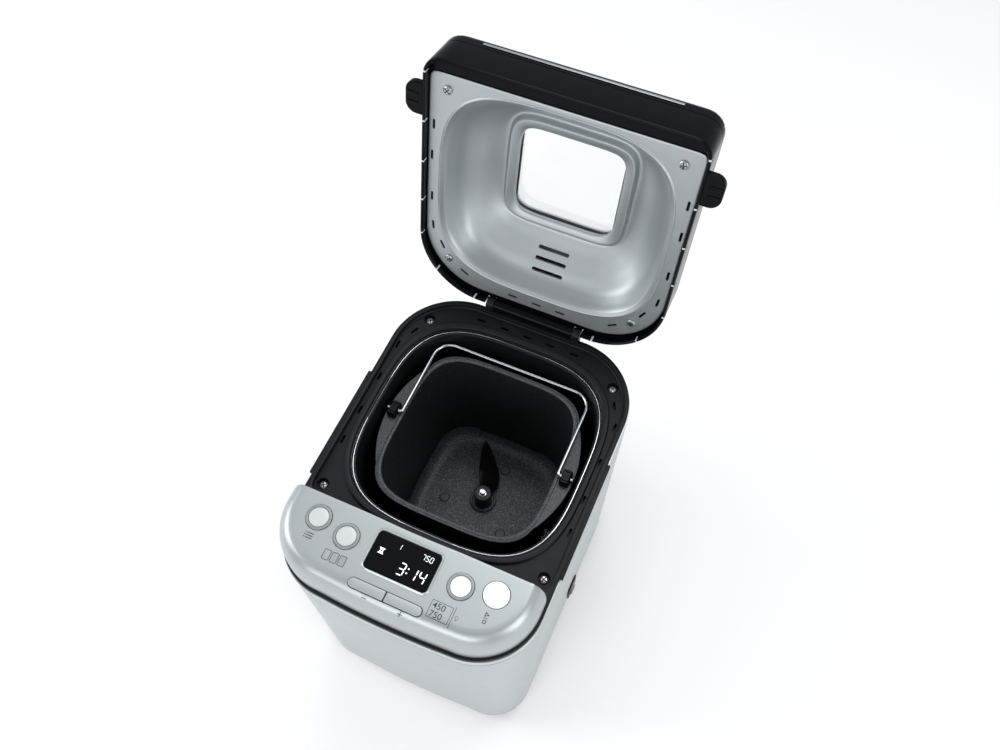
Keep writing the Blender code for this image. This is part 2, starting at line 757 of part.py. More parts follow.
def make_drive_shaft(root, finish_shaft, finish_bearing, finish_coupling):
    bm = bmesh.new()
    add_turned(bm, [(0.0034, 0.0420), (SHAFT_RADIUS, 0.0426), (SHAFT_RADIUS, 0.0756), (0.0034, 0.0762)], count=20)
    part("drive_shaft", bm, finish_shaft, root)
    bm = bmesh.new()
    profile = [(0.0130, 0.0596), (0.0130, 0.0637), (0.0088, 0.0637), (0.0088, 0.0700)]
    profile += [(0.0043, 0.0700), (0.0043, 0.0596)]
    add_turned(bm, profile, count=24, loop=True)
    part("shaft_bearing", bm, finish_bearing, root)
    bm = bmesh.new()
    profile = [(0.0140, 0.0712), (0.0140, 0.0745), (0.0060, 0.0745), (0.0056, 0.0765)]
    profile += [(0.0043, 0.0765), (0.0043, 0.0712)]
    add_turned(bm, profile, count=28, loop=True)
    coupling = part("drive_coupling", bm, finish_coupling, root)
    dogs = bmesh.new()
    for side in (-1, 1):
        low, high = sorted((side * 0.0070, side * 0.0122))
        add_box(dogs, (low, -0.0025, 0.0735), (high, 0.0025, 0.0850))
    combine(coupling, "coupling_dogs", dogs, "UNION")


def make_cord_gland(root, finish):
    """Bush for the mains lead, in the rear wall. The lead itself isn't part of the object."""
    bm = bmesh.new()
    rear = REAR - REAR_TAPER * (SHELL_TOP - 0.028) / SHELL_TOP
    profile = [(0.0063, -0.0100), (0.0063, GAP), (0.0090, GAP), (0.0078, 0.0040)]
    profile += [(0.0038, 0.0040), (0.0038, -0.0100)]
    add_turned(bm, profile, count=24, loop=True)
    gland = part("cord_gland", bm, finish, root)
    gland.location = (0.060, rear, 0.028)
    gland.rotation_euler = (-math.pi / 2, 0.0, 0.0)


# ---------------------------------------------------------------- bread pan


def pan_flange(count):
    """The rim's outline, widened at both sides into the flats that carry the handle."""
    half_height = 0.046
    sagitta = FLANGE_REACH - PAN_RIM
    radius = (half_height**2 + sagitta**2) / (2 * sagitta)
    offset = FLANGE_REACH - radius
    points = []
    for step in range(count):
        angle = math.tau * step / count
        reach = squircle_reach(angle, PAN_RIM, PAN_RIM, 4.2)
        across = abs(math.cos(angle))
        along = math.sin(angle)
        root_term = radius**2 - (offset * along) ** 2
        arc = offset * across + math.sqrt(max(root_term, 0.0))
        if abs(arc * along) < half_height:
            reach = max(reach, arc)
        points.append((reach * math.cos(angle), reach * math.sin(angle)))
    return points


def make_bread_pan(lift, finish):
    count = 52

    def ring(half, z, power=4.2):
        return (squircle(half, power=power, count=count), z)

    bm = bmesh.new()
    sheet = PAN_SHEET
    rings = [
        ring(0.0560, PAN_FLOOR - sheet, 3.2),
        ring(0.0630 + sheet, PAN_FLOOR + 0.0045, 3.4),
        ring(0.0662 + sheet, PAN_FLOOR + 0.0150, 3.8),
        ring(PAN_HALF + sheet, PAN_TOP - 0.0030),
        (pan_flange(count), PAN_TOP - 0.0022),
        (pan_flange(count), PAN_TOP - 0.0006),
        ring(PAN_HALF + 0.0030, PAN_TOP - 0.0002),
        ring(PAN_HALF + 0.0010, PAN_TOP),
        ring(PAN_HALF, PAN_TOP - 0.0010),
        ring(0.0662, PAN_FLOOR + 0.0160, 3.8),
        ring(0.0625, PAN_FLOOR + 0.0055, 3.4),
        ring(0.0550, PAN_FLOOR, 3.2),
    ]
    add_rings(bm, rings)
    pan = part("bread_pan", bm, finish, lift)
    boss = bmesh.new()
    profile = [(0.0130, PAN_FLOOR - 0.0008), (0.0126, PAN_FLOOR + 0.0028), (0.0106, PAN_FLOOR + 0.0028)]
    profile += [(0.0100, PAN_FLOOR - 0.0008)]
    add_turned(boss, profile, count=28, loop=True)
    for angle in (79, 199, 319):
        x = 0.0386 * math.cos(math.radians(angle))
        y = 0.0386 * math.sin(math.radians(angle))
        add_turned(boss, [(0.0048, PAN_FLOOR - 0.0006), (0.0040, PAN_FLOOR + 0.0012)], x, y, 14)
    combine(pan, "pan_embossing", boss, "UNION")
    hole = bmesh.new()
    add_turned(hole, [(0.0056, 0.090), (0.0056, 0.120)], count=20)
    combine(pan, "pan_shaft_hole", hole)
    bm = bmesh.new()
    low, high = LINER_FLOOR + 0.0004, PAN_FLOOR - PAN_SHEET - GAP
    profile = [(0.0540, low), (0.0540, high - 0.0015), (0.0500, high), (0.0380, high)]
    profile += [(0.0380, high - 0.0012), (0.0520, high - 0.0020), (0.0526, low)]
    add_turned(bm, profile, count=28, loop=True)
    part("pan_base_ring", bm, finish, lift)


def make_bail(lift, hinge, finish_wire, finish_clamp):
    for name, side in (("bail_clamp_left", -1), ("bail_clamp_right", 1)):
        bm = bmesh.new()
        low, high = sorted((side * 0.0768, side * 0.0858))
        add_box(bm, (low, -0.0075, PAN_TOP + GAP), (high, 0.0075, 0.2446))
        clamp = part(name, bm, finish_clamp, lift)
        bore = bmesh.new()
        add_rod(bore, (side * 0.070, 0.0, BAIL_Z), (side * 0.092, 0.0, BAIL_Z), 0.0019, 16)
        combine(clamp, name + "_bore", bore)
    corner = 0.0160
    arm = BAIL_ARM_X
    path = [(0.0880, 0.0), (arm + 0.0022, 0.0), (arm + 0.0006, 0.0008), (arm, 0.0026)]
    for share in (0.35, 0.70):
        path.append((arm, share * (BAIL_LENGTH - corner)))
    for step in range(9):
        angle = math.radians(90 * step / 8)
        x = arm - corner + corner * math.cos(angle)
        y = BAIL_LENGTH - corner + corner * math.sin(angle)
        path.append((x, y))
    path += [(0.030, BAIL_LENGTH)]
    mirrored = [(-x, y) for x, y in reversed(path)]
    wire("bail_handle", [(x, y, 0.0) for x, y in path + mirrored], BAIL_WIRE, 2, finish_wire, hinge)


def make_pan_shaft(lift, finish_bearing, finish_shaft, finish_seal, finish_paddle):
    bm = bmesh.new()
    profile = [(0.0130, 0.0885), (0.0130, 0.1000), (0.0200, 0.1012), (0.0200, 0.1030)]
    profile += [(0.0053, 0.1030), (0.0053, 0.0885)]
    add_turned(bm, profile, count=24, loop=True)
    part("pan_bearing", bm, finish_bearing, lift)
    bm = bmesh.new()
    profile = [(0.0050, 0.0830), (0.0050, 0.1238), (0.0033, 0.1240), (0.0033, 0.1284), (0.0027, 0.1290)]
    add_turned(bm, profile, count=20)
    shaft = part("pan_shaft", bm, finish_shaft, lift)
    wings = bmesh.new()
    add_box(wings, (-0.0028, -0.0120, 0.0772), (0.0028, 0.0120, 0.0838))
    combine(shaft, "shaft_wings", wings, "UNION")
    bm = bmesh.new()
    profile = [(0.0088, PAN_FLOOR + GAP), (0.0084, 0.1082), (0.0053, 0.1082), (0.0053, PAN_FLOOR + GAP)]
    add_turned(bm, profile, count=24, loop=True)
    part("shaft_seal", bm, finish_seal, lift)
    make_paddle(lift, finish_paddle)


def make_paddle(lift, finish):
    """Hub with one blade, a leaf that twists as it rises towards its tip.

    A station of the blade gives the radius and height of its lower and of its upper edge.
    """
    bm = bmesh.new()
    profile = [(0.0085, 0.1087), (0.0085, 0.1240), (0.0075, 0.1252), (0.0036, 0.1252)]
    profile += [(0.0036, 0.1243), (0.0053, 0.1243), (0.0053, 0.1087)]
    add_turned(bm, profile, count=24, loop=True)
    paddle = part("kneading_paddle", bm, finish, lift)
    stations = (
        (0.0070, 0.1095, 0.0070, 0.1225),
        (0.0140, 0.1095, 0.0125, 0.1246),
        (0.0220, 0.1095, 0.0200, 0.1290),
        (0.0300, 0.1098, 0.0275, 0.1365),
        (0.0370, 0.1150, 0.0335, 0.1425),
        (0.0420, 0.1240, 0.0380, 0.1465),
        (0.0448, 0.1350, 0.0410, 0.1488),
        (0.0452, 0.1450, 0.0432, 0.1500),
    )
    rings = []
    for low, low_z, high, high_z in stations:
        corners = ((low, low_z, -0.0021), (low, low_z, 0.0021), (high, high_z, 0.0021), (high, high_z, -0.0021))
        outline = []
        for radius, z, across in corners:
            share = (z - 0.1095) / (0.1500 - 0.1095)
            turn = BLADE_ROOT_TURN * (1 - share) + BLADE_TIP_TURN * share
            x = radius * math.cos(turn) - across * math.sin(turn)
            y = radius * math.sin(turn) + across * math.cos(turn)
            outline.append((x, y))
        rings.append((outline, [z for _, z, _ in corners]))
    blade = bmesh.new()
    add_rings(blade, rings)
    bmesh.ops.triangulate(blade, faces=blade.faces)
    combine(paddle, "paddle_blade", blade, "UNION")


# ---------------------------------------------------------------- lid


def make_lid_frame(hinge, finish):
    wall = 0.0026
    seat = (0.2682, 0.2698)
    outline = lid_outline(wall)
    opening = facing(outline, 0.0985, 0.0930, 0.0040)
    bm = bmesh.new()
    rings = [
        (lid_outline(0.0010), LID_BOTTOM),
        (lid_outline(0.0002), LID_BOTTOM + 0.0014),
        (lid_outline(), 0.2700),
        (lid_outline(), LID_FRAME_TOP),
        (outline, LID_FRAME_TOP),
        (outline, seat[1]),
        (opening, seat[1]),
        (opening, seat[0]),
        (outline, seat[0]),
        (outline, LID_BOTTOM),
    ]
    add_rings(bm, rings, loop=True)
    frame = part("lid_frame", bm, finish, hinge)
    clearance = bmesh.new()
    add_box(clearance, (-HINGE_HALF - 0.0006, 0.1095, 0.2500), (HINGE_HALF + 0.0006, 0.1300, 0.2745))
    combine(frame, "hinge_clearance", clearance)
    barrel = bmesh.new()
    add_rod(barrel, (-BARREL_HALF, HINGE_Y, HINGE_Z), (BARREL_HALF, HINGE_Y, HINGE_Z), 0.0056)
    add_box(barrel, (-BARREL_HALF + 0.0004, 0.1040, 0.2684), (BARREL_HALF - 0.0004, HINGE_Y, 0.2750))
    combine(frame, "hinge_barrel", barrel, "UNION")
    bore = bmesh.new()
    add_rod(bore, (-0.05, HINGE_Y, HINGE_Z), (0.05, HINGE_Y, HINGE_Z), 0.0022)
    for x, y in lid_screw_places():
        add_turned(bore, [(0.0018, 0.265), (0.0018, 0.275)], x, y, 12)
    combine(frame, "hinge_barrel_bore", bore)
    notches = bmesh.new()
    for side in (-1, 1):
        for y in (-0.0929, -0.0502, -0.0127, 0.0258, 0.0618):
            low, high = sorted((side * 0.1020, side * 0.1130))
            add_box(notches, (low, y - 0.0010, 0.2590), (high, y + 0.0010, 0.2660))
    combine(frame, "rim_notches", notches)
    add_lid_ears(frame)


def make_hinge_pin(root, finish):
    bm = bmesh.new()
    add_rod(bm, (-0.0446, HINGE_Y, HINGE_Z), (0.0446, HINGE_Y, HINGE_Z), 0.0019, 16)
    part("hinge_pin", bm, finish, root)


def lid_screw_places():
    return [(-0.0930, -0.0794), (0.0930, -0.0794), (-0.0855, 0.0854), (0.0855, 0.0854)]


def make_lid_cover(hinge, finish, finish_strip):
    """Domed outer skin with the window opening."""
    low = LID_FRAME_TOP + GAP
    skin = 0.0014
    dome = ((0.0, low), (0.0006, 0.2990), (0.0040, 0.3045), (0.0115, 0.3100), (0.0230, 0.3146), (0.0370, 0.3172))
    window = facing(lid_outline(), WINDOW_HALF[0] + 0.0030, WINDOW_HALF[1] + 0.0030, WINDOW_Y, 7.0)
    behind = facing(lid_outline(), WINDOW_HALF[0] + 0.0044, WINDOW_HALF[1] + 0.0044, WINDOW_Y, 7.0)
    outer = [(lid_outline(inset), z) for inset, z in dome]
    outer += [(window, LID_TOP), (window, 0.3153), (behind, 0.3153)]
    inner = [(behind, LID_TOP - skin)]
    inner += [(lid_outline(inset + skin), z - skin) for inset, z in reversed(dome[1:])]
    inner += [(lid_outline(skin + 0.0006), low)]
    bm = bmesh.new()
    add_rings(bm, outer + inner, loop=True)
    part("lid_cover", bm, finish, hinge)
    bm = bmesh.new()
    y = LID_FRONT - GAP
    add_box(bm, (-0.0785, y - 0.0005, 0.2938), (0.0785, y, 0.2962))
    part("lid_front_strip", bm, finish_strip, hinge)


def make_lid_lining(hinge, finish):
    """Pressed aluminium inner panel: flat flange, deep dome, raised frame round the window.

    Each row of the dome gives its half width, half depth, middle, squareness, height, the
    amount by which its rear is shallower, and how far its outer face is spread.
    """
    sheet = 0.0010
    edge = rounded(0.1084, -0.0922, 0.1100, 0.006, 0.0560)
    dome = (
        (0.0958, 0.0902, 0.0038, 3.4, LINING_Z, 0.0, 0.0006),
        (0.0935, 0.0880, 0.0040, 3.4, 0.2690, 0.0, 0.0009),
        (0.0900, 0.0845, 0.0042, 3.4, 0.2780, 0.0005, 0.0009),
        (0.0850, 0.0800, 0.0044, 3.4, 0.2900, 0.0032, 0.0008),
        (0.0760, 0.0715, 0.0036, 3.6, 0.3010, 0.0066, 0.0006),
        (0.0660, 0.0615, 0.0016, 4.0, 0.3080, 0.0075, 0.0004),
        (0.0585, 0.0545, -0.0004, 4.8, 0.3096, 0.0060, -0.0002),
        (0.0552, 0.0515, -0.0012, 5.6, 0.3076, 0.0030, -0.0006),
        (0.0536, 0.0500, -0.0014, 6.0, 0.3050, 0.0008, -0.0004),
        (0.0475, 0.0445, -0.0006, 7.0, 0.3056, 0.0, 0.0003),
        (0.0437, 0.0408, WINDOW_Y, 7.0, 0.3082, 0.0, 0.0),
    )
    lower = [(edge, LINING_Z)]
    upper = [(edge, LINING_Z + sheet)]
    for half_x, half_y, y, power, z, rise, shift in dome:
        inner = facing(edge, half_x, half_y, y, power)
        outer = facing(edge, half_x + shift, half_y + shift, y, power)
        lower.append((inner, [z - rise * max(0.0, py / 0.06) ** 2 for px, py in inner]))
        upper.append((outer, [z - rise * max(0.0, py / 0.06) ** 2 + sheet for px, py in inner]))
    bm = bmesh.new()
    add_rings(bm, lower + list(reversed(upper)), loop=True)
    lining = part("lid_lining", bm, finish, hinge)
    cutter = bmesh.new()
    for y in (0.0656, 0.0734, 0.0817):
        add_rings(cutter, [(rounded(0.0142, y - 0.0014, y + 0.0014, 0.0013, 0.0013, 2, 1), z) for z in (0.27, 0.32)])
    for x, y in lid_screw_places():
        add_turned(cutter, [(0.0019, 0.260), (0.0019, 0.275)], x, y, 12)
    combine(lining, "lining_slots", cutter)


def make_lid_window(hinge, finish_glass, finish_gasket):
    bm = bmesh.new()
    outline = rounded(0.0484, WINDOW_Y - 0.0457, WINDOW_Y + 0.0457, 0.010, 0.010, 4, 1)
    add_rings(bm, [(outline, 0.3122), (outline, 0.3150)])
    part("lid_window", bm, finish_glass, hinge)
    bm = bmesh.new()
    inner = rounded(0.0424, WINDOW_Y - 0.0397, WINDOW_Y + 0.0397, 0.007, 0.007, 4, 1)
    add_rings(bm, [(outline, 0.3095), (outline, 0.3119), (inner, 0.3119), (inner, 0.3095)], loop=True)
    part("window_gasket", bm, finish_gasket, hinge)


def add_lid_ears(frame):
    """Finger tabs at the lid's front corners, each a half round with two ridges."""
    for name, side in (("ear_left", -1), ("ear_right", 1)):
        ear = bmesh.new()
        outline = rounded(0.0140, -0.0140, 0.0140, 0.009, 0.009, 4, 1)
        tab = [(side * max(0.1122 + x, 0.1104), y - 0.0682) for x, y in outline]
        add_rings(ear, [(tab, 0.2610), (tab, 0.2656)])
        bmesh.ops.remove_doubles(ear, verts=ear.verts, dist=0.00005)
        combine(frame, name, ear, "UNION")
        ridges = bmesh.new()
        for y in (-0.0722, -0.0642):
            low, high = sorted((side * 0.1150, side * 0.1246))
            add_box(ridges, (low, y - 0.0010, 0.2602), (high, y + 0.0010, 0.2620))
        combine(frame, name + "_ridges", ridges, "UNION")


# ---------------------------------------------------------------- assembly


def main():
    for obj in list(bpy.data.objects):
        bpy.data.objects.remove(obj)

    silver = material("satin_silver", (0.62, 0.65, 0.66), 0.38, 0.6)
    black = material("black_plastic", (0.012, 0.013, 0.015), 0.42)
    aluminium = material("satin_aluminium", (0.60, 0.63, 0.64), 0.35, 0.85)
    chrome = material("bright_steel", (0.82, 0.83, 0.84), 0.15, 1.0)
    dark_steel = material("dark_coated_steel", (0.030, 0.034, 0.038), 0.45, 0.3)
    nonstick = material("nonstick_coating", (0.030, 0.032, 0.034), 0.5, 0.2)
    zinc = material("zinc_plated_steel", (0.50, 0.52, 0.54), 0.35, 0.9)
    brass = material("sintered_bronze", (0.45, 0.30, 0.14), 0.4, 0.9)
    rubber = material("black_rubber", (0.02, 0.02, 0.02), 0.8)
    glass = material("clear_glass", (0.85, 0.9, 0.9), 0.05)
    display = material("display_glass", (0.004, 0.005, 0.008), 0.08)
    button_grey = material("button_grey", (0.62, 0.66, 0.66), 0.4)
    board_green = material("circuit_board", (0.03, 0.16, 0.07), 0.5)
    white = material("white_plastic", (0.75, 0.75, 0.73), 0.5)

    root = joint_empty("bread_machine", (0.0, CHAMBER_Y, 0.0), None)
    hinge = joint_empty("lid_hinge", (0.0, HINGE_Y, HINGE_Z), root)
    lid = joint_empty("lid_closed_frame", (0.0, -HINGE_Y, -HINGE_Z), hinge)
    bail = joint_empty("bail_pivot", (0.0, 0.0, BAIL_Z), root)

    make_body_shell(root, silver)
    make_trim_band(root, silver)
    make_base_plate(root, black)
    make_feet(root, rubber)
    make_deck_frame(root, black)
    make_screws(
        ("deck_screw_front_left", "deck_screw_front_right", "deck_screw_rear_left", "deck_screw_rear_right"),
        deck_screw_places(),
        0.2509,
        0.0,
        0.0,
        zinc,
        root,
    )

    make_control_panel(root, silver)
    make_buttons(root, button_grey)
    make_keys(root, silver)
    make_display(root, display, silver)
    make_control_board(root, board_green)
    make_power_board(root, board_green)
    make_power_switch(root, black)

    make_oven_liner(root, dark_steel, chrome)
    make_heating_element(root, dark_steel)
    make_temperature_sensor(root, chrome)
    make_pan_clips(root, chrome)
    make_chassis(root, zinc)
    make_motor(root, zinc)
    make_motor_pulley(root, white)
    make_drive_pulley(root, white)
    make_drive_belt(root, rubber)
    make_drive_shaft(root, chrome, brass, zinc)
    make_cord_gland(root, black)

    make_bread_pan(root, nonstick)
    make_bail(root, bail, chrome, black)
    make_pan_shaft(root, zinc, chrome, rubber, nonstick)

    make_hinge_pin(root, zinc)
    make_lid_frame(lid, black)
    make_lid_cover(lid, silver, chrome)
    make_lid_lining(lid, aluminium)
    make_lid_window(lid, glass, rubber)
    make_screws(
        ("lid_screw_front_left", "lid_screw_front_right", "lid_screw_rear_left", "lid_screw_rear_right"),
        lid_screw_places(),
        LINING_Z - GAP,
        0.004,
        math.pi,
        zinc,
        lid,
    )
    hinge.rotation_euler = (-LID_OPEN, 0.0, 0.0)


main()
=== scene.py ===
"""Looks of a compact bread machine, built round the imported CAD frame.

Lengths are metres in the row frame. Shapes are laid out about the upright axis of the baking
chamber. The lid's shapes are laid out closed, and its matrix turns them open about the hinge.
"""

import math

import bmesh
import bpy
import numpy as np
from mathutils import Matrix, Vector


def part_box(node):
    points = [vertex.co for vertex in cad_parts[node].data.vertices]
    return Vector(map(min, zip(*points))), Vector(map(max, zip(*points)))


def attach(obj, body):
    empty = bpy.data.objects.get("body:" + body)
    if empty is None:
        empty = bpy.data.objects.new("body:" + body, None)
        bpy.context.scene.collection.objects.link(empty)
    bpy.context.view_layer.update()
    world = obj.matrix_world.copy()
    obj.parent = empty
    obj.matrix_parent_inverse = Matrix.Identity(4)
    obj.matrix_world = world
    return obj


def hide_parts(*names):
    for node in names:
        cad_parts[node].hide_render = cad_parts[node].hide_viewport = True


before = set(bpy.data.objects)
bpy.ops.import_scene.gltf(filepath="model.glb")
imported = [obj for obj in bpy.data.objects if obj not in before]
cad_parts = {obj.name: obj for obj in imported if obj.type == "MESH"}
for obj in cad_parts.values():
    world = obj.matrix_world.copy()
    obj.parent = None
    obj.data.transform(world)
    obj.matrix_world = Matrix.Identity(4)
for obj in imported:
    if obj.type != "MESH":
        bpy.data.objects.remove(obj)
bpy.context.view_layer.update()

# ---------------------------------------------------------------- sizes

pan_low, pan_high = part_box("bread_pan")
pin_low, pin_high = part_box("hinge_pin")
CHAMBER_Y = (pan_low.y + pan_high.y) / 2
HINGE_Y = (pin_low.y + pin_high.y) / 2 - CHAMBER_Y
HINGE_Z = (pin_low.z + pin_high.z) / 2
LID_OPEN = math.radians(103.08)
CHAMBER = Matrix.Translation((0, CHAMBER_Y, 0))
HINGE = Matrix.Translation((0, CHAMBER_Y + HINGE_Y, HINGE_Z))
LID = HINGE @ Matrix.Rotation(-LID_OPEN, 4, "X") @ HINGE.inverted() @ CHAMBER

HALF_WIDTH, FRONT, REAR = 0.1114, -0.1774, 0.12
FRONT_RADIUS, REAR_RADIUS, FRONT_BOW, BOW_HALF_WIDTH = 0.055, 0.062, 0.002, 0.0564
SIDE_TAPER, FRONT_TAPER, REAR_TAPER, CORNER_TAPER = 0.0046, 0.004, 0.0066, 0.018
SHELL_BOTTOM, SHELL_TOP = 0.005, 0.2456
TRIM_LOW, TRIM_HIGH = 0.247, 0.255
DECK_SKIRT, DECK_TOP, CHANNEL_FLOOR = 0.2553, 0.2595, 0.255
PANEL_BACK, PANEL_TOP, PANEL_BOTTOM = -0.1084, 0.29, 0.2598
# The control cover may reach this far behind PANEL_BACK, short of the closed lid.
PANEL_REACH = 0.0007
INK_DEPTH = 0.00004
BUTTONS = {"program": (-0.075, -0.1264), "crust": (-0.0482, -0.1314), "weight": (0.0482, -0.1314),
    "start": (0.075, -0.1264)}
DISPLAY = (0.0265, 0.0159, -0.1313)
KEY_BAR_Y = -0.1608
PAN_FLOOR, PAN_HALF, PAN_RIM, RIM_POWER = 0.105, 0.0722, 0.077, 4.2
FLANGE_REACH, BAIL_Z, BAIL_ARM_X, BAIL_LENGTH = 0.0885, 0.241, 0.0738, 0.0797
LID_HALF, LID_FRONT, LID_REAR = 0.1116, -0.1072, 0.1176
LID_BOTTOM, LID_FRAME_TOP, LID_TOP, LINING_Z = 0.2598, 0.2965, 0.318, 0.2668
WINDOW_Y, WINDOW_HALF_X, WINDOW_HALF_Y = -0.0005, 0.0435, 0.0408
BARREL_HALF, HINGE_HALF = 0.0378, 0.045

# ---------------------------------------------------------------- outlines


def squircle_reach(angles, half_x, half_y, power):
    """Distance from the middle of a rounded square to its edge, at each angle."""
    across = np.abs(np.cos(angles) / half_x) ** power
    along = np.abs(np.sin(angles) / half_y) ** power
    return (across + along) ** (-1 / power)


def even_angles(count):
    """Angles that space points evenly along a rounded square."""
    fine = np.linspace(0, math.tau, 8001)
    reach = squircle_reach(fine, 1, 1, 3.6)
    steps = np.hypot(np.diff(reach * np.cos(fine)), np.diff(reach * np.sin(fine)))
    length = np.concatenate(([0], np.cumsum(steps)))
    return np.interp(np.linspace(0, length[-1], count, endpoint=False), length, fine)


ANGLES = even_angles(256)


def squircle(half_x, power=3.3, half_y=None, y=0.0):
    reach = squircle_reach(ANGLES, half_x, half_y or half_x, power)
    return np.column_stack((reach * np.cos(ANGLES), y + reach * np.sin(ANGLES)))


def about_chamber(outline):
    """The points of a dense outline that lie at ANGLES as seen from the chamber's axis."""
    angles = np.arctan2(outline[:, 1], outline[:, 0]) % math.tau
    order = np.argsort(angles)
    around = np.concatenate((angles[order] - math.tau, angles[order], angles[order] + math.tau))
    points = np.tile(outline[order], (3, 1))
    return np.column_stack([np.interp(ANGLES, around, points[:, axis]) for axis in (0, 1)])


def rounded(half_x, front, rear, front_radius, rear_radius, arc, straight, x=0.0):
    """A rectangle with round corners, anticlockwise from its rear right corner."""
    arcs = []
    for turn, side in enumerate((1, -1, -1, 1)):
        radius, y = (rear_radius, rear - rear_radius) if turn < 2 else (front_radius, front + front_radius)
        angles = np.radians(90 * turn + 90 * np.arange(arc + 1) / arc)
        across = x + side * (half_x - radius) + radius * np.cos(angles)
        arcs.append(np.column_stack((across, y + radius * np.sin(angles))))
    points = []
    for index, stretch in enumerate(arcs):
        after = arcs[(index + 1) % 4][0]
        share = (np.arange(1, straight) / straight)[:, None]
        points += [stretch, stretch[-1] * (1 - share) + after * share]
    return np.vstack(points)


def bowed(outline):
    """The front of the housing is slightly bowed: its middle stands a little forward."""
    share = np.clip(np.abs(outline[:, 0]) / BOW_HALF_WIDTH, 0, 1) ** 2
    forward = np.clip(-outline[:, 1] / 0.12, 0, 1)
    return outline + np.column_stack((np.zeros(len(outline)), FRONT_BOW * share * forward))


def housing(inset, z):
    """The housing's outline at a height: it narrows a little towards the floor."""
    share = max(0.0, (SHELL_TOP - z) / SHELL_TOP)
    outline = rounded(HALF_WIDTH - SIDE_TAPER * share - inset, FRONT + FRONT_TAPER * share + inset,
        REAR - REAR_TAPER * share - inset, FRONT_RADIUS - CORNER_TAPER * share - inset, REAR_RADIUS - inset,
        arc=30, straight=20)
    return bowed(outline)


def lid_outline(inset=0.0):
    outline = rounded(LID_HALF - inset, LID_FRONT + inset, LID_REAR - inset, 0.016 - min(inset, 0.012),
        0.06 - inset, arc=60, straight=120)
    return about_chamber(outline)


def circle(radius, x, y, count):
    angles = math.tau * np.arange(count) / count
    return np.column_stack((x + radius * np.cos(angles), y + radius * np.sin(angles)))


# ---------------------------------------------------------------- solids


def soften(profile, loop, steps):
    """Rounds the corners of an (offset, z, radius) profile into (offset, z) steps."""
    result = []
    for index, (offset, z, *rest) in enumerate(profile):
        here = np.array((offset, z))
        radius = rest[0] if rest else 0
        if not radius or not (loop or 0 < index < len(profile) - 1):
            result.append(here)
            continue
        before = np.array(profile[index - 1][:2]) - here
        after = np.array(profile[(index + 1) % len(profile)][:2]) - here
        lengths = np.linalg.norm(before), np.linalg.norm(after)
        cosine = np.clip(before @ after / (lengths[0] * lengths[1]), -1, 1)
        reach = radius / max(math.tan(math.acos(cosine) / 2), 1e-6)
        reach = min(reach, 0.48 * lengths[0], 0.48 * lengths[1])
        start = here + before / lengths[0] * reach
        end = here + after / lengths[1] * reach
        for share in np.linspace(0, 1, steps + 1):
            result.append((1 - share) ** 2 * start + 2 * share * (1 - share) * here + share**2 * end)
    return result


def eased(rows, count):
    """Rows of numbers, with smooth rows (Catmull-Rom) between them."""
    rows = np.array(rows, float)
    padded = np.vstack((2 * rows[0] - rows[1], rows, 2 * rows[-1] - rows[-2]))
    result = []
    for position in np.linspace(0, len(rows) - 1, count):
        index = min(int(position), len(rows) - 2)
        t = position - index
        a, b, c, d = padded[index : index + 4]
        result.append(0.5 * (2 * b + (c - a) * t + (2 * a - 5 * b + 4 * c - d) * t**2 + (
            3 * b - a - 3 * c + d) * t**3))
    return result


def ring(outline, z):
    return np.column_stack((outline, np.broadcast_to(z, len(outline))))


def rings_at(outline, steps):
    return [ring(outline(offset), z) for offset, z in steps]


def lofted(rings, loop=False):
    """(points, faces) of a skin through rings of equal count."""
    count, rows = len(rings[0]), len(rings)
    index = np.arange(count)
    after = (index + 1) % count
    pairs = [(row, row + 1) for row in range(rows - 1)] + ([(rows - 1, 0)] if loop else [])
    faces = []
    for low, high in pairs:
        low, high = low * count, high * count
        faces += np.column_stack((low + index, low + after, high + after, high + index)).tolist()
    if not loop:
        faces += [list(range(count))[::-1], list(range((rows - 1) * count, rows * count))]
    return np.vstack(rings), faces


def swept(shape, profile, loop=True, steps=3):
    """A profile carried round an outline: shape(offset, z) gives the outline."""
    rings = [ring(shape(offset, z), z) for offset, z in soften(profile, loop, steps)]
    return lofted(rings, loop)


def turned(profile, x=0.0, y=0.0, count=64, loop=False):
    return swept(lambda radius, z: circle(max(radius, 1e-5), x, y, count), profile, loop)


def pad(x, y, half_x, half_y, radius, profile, loop=False, arc=8):
    """A rounded rectangle lofted along (inset, z, radius) steps."""

    def shape(inset, z):
        corner = max(radius - inset, 0.0001)
        half = half_y - inset
        return rounded(half_x - inset, y - half, y + half, corner, corner, arc, 2, x)

    return swept(shape, profile, loop)


def block(low, high, bevel=0.0003, segments=2):
    """A box with rounded edges."""
    bm = bmesh.new()
    size = [b - a for a, b in zip(low, high)]
    middle = [(a + b) / 2 for a, b in zip(low, high)]
    matrix = Matrix.Translation(middle) @ Matrix.Diagonal((*size, 1))
    bmesh.ops.create_cube(bm, size=1, matrix=matrix)
    if bevel:
        bmesh.ops.bevel(bm, geom=bm.edges[:], offset=bevel, segments=segments, profile=0.5, affect="EDGES")
    return arrays(bm)


def arrays(bm):
    bm.verts.index_update()
    points = np.array([v.co for v in bm.verts])
    faces = [[v.index for v in face.verts] for face in bm.faces]
    bm.free()
    return points, faces


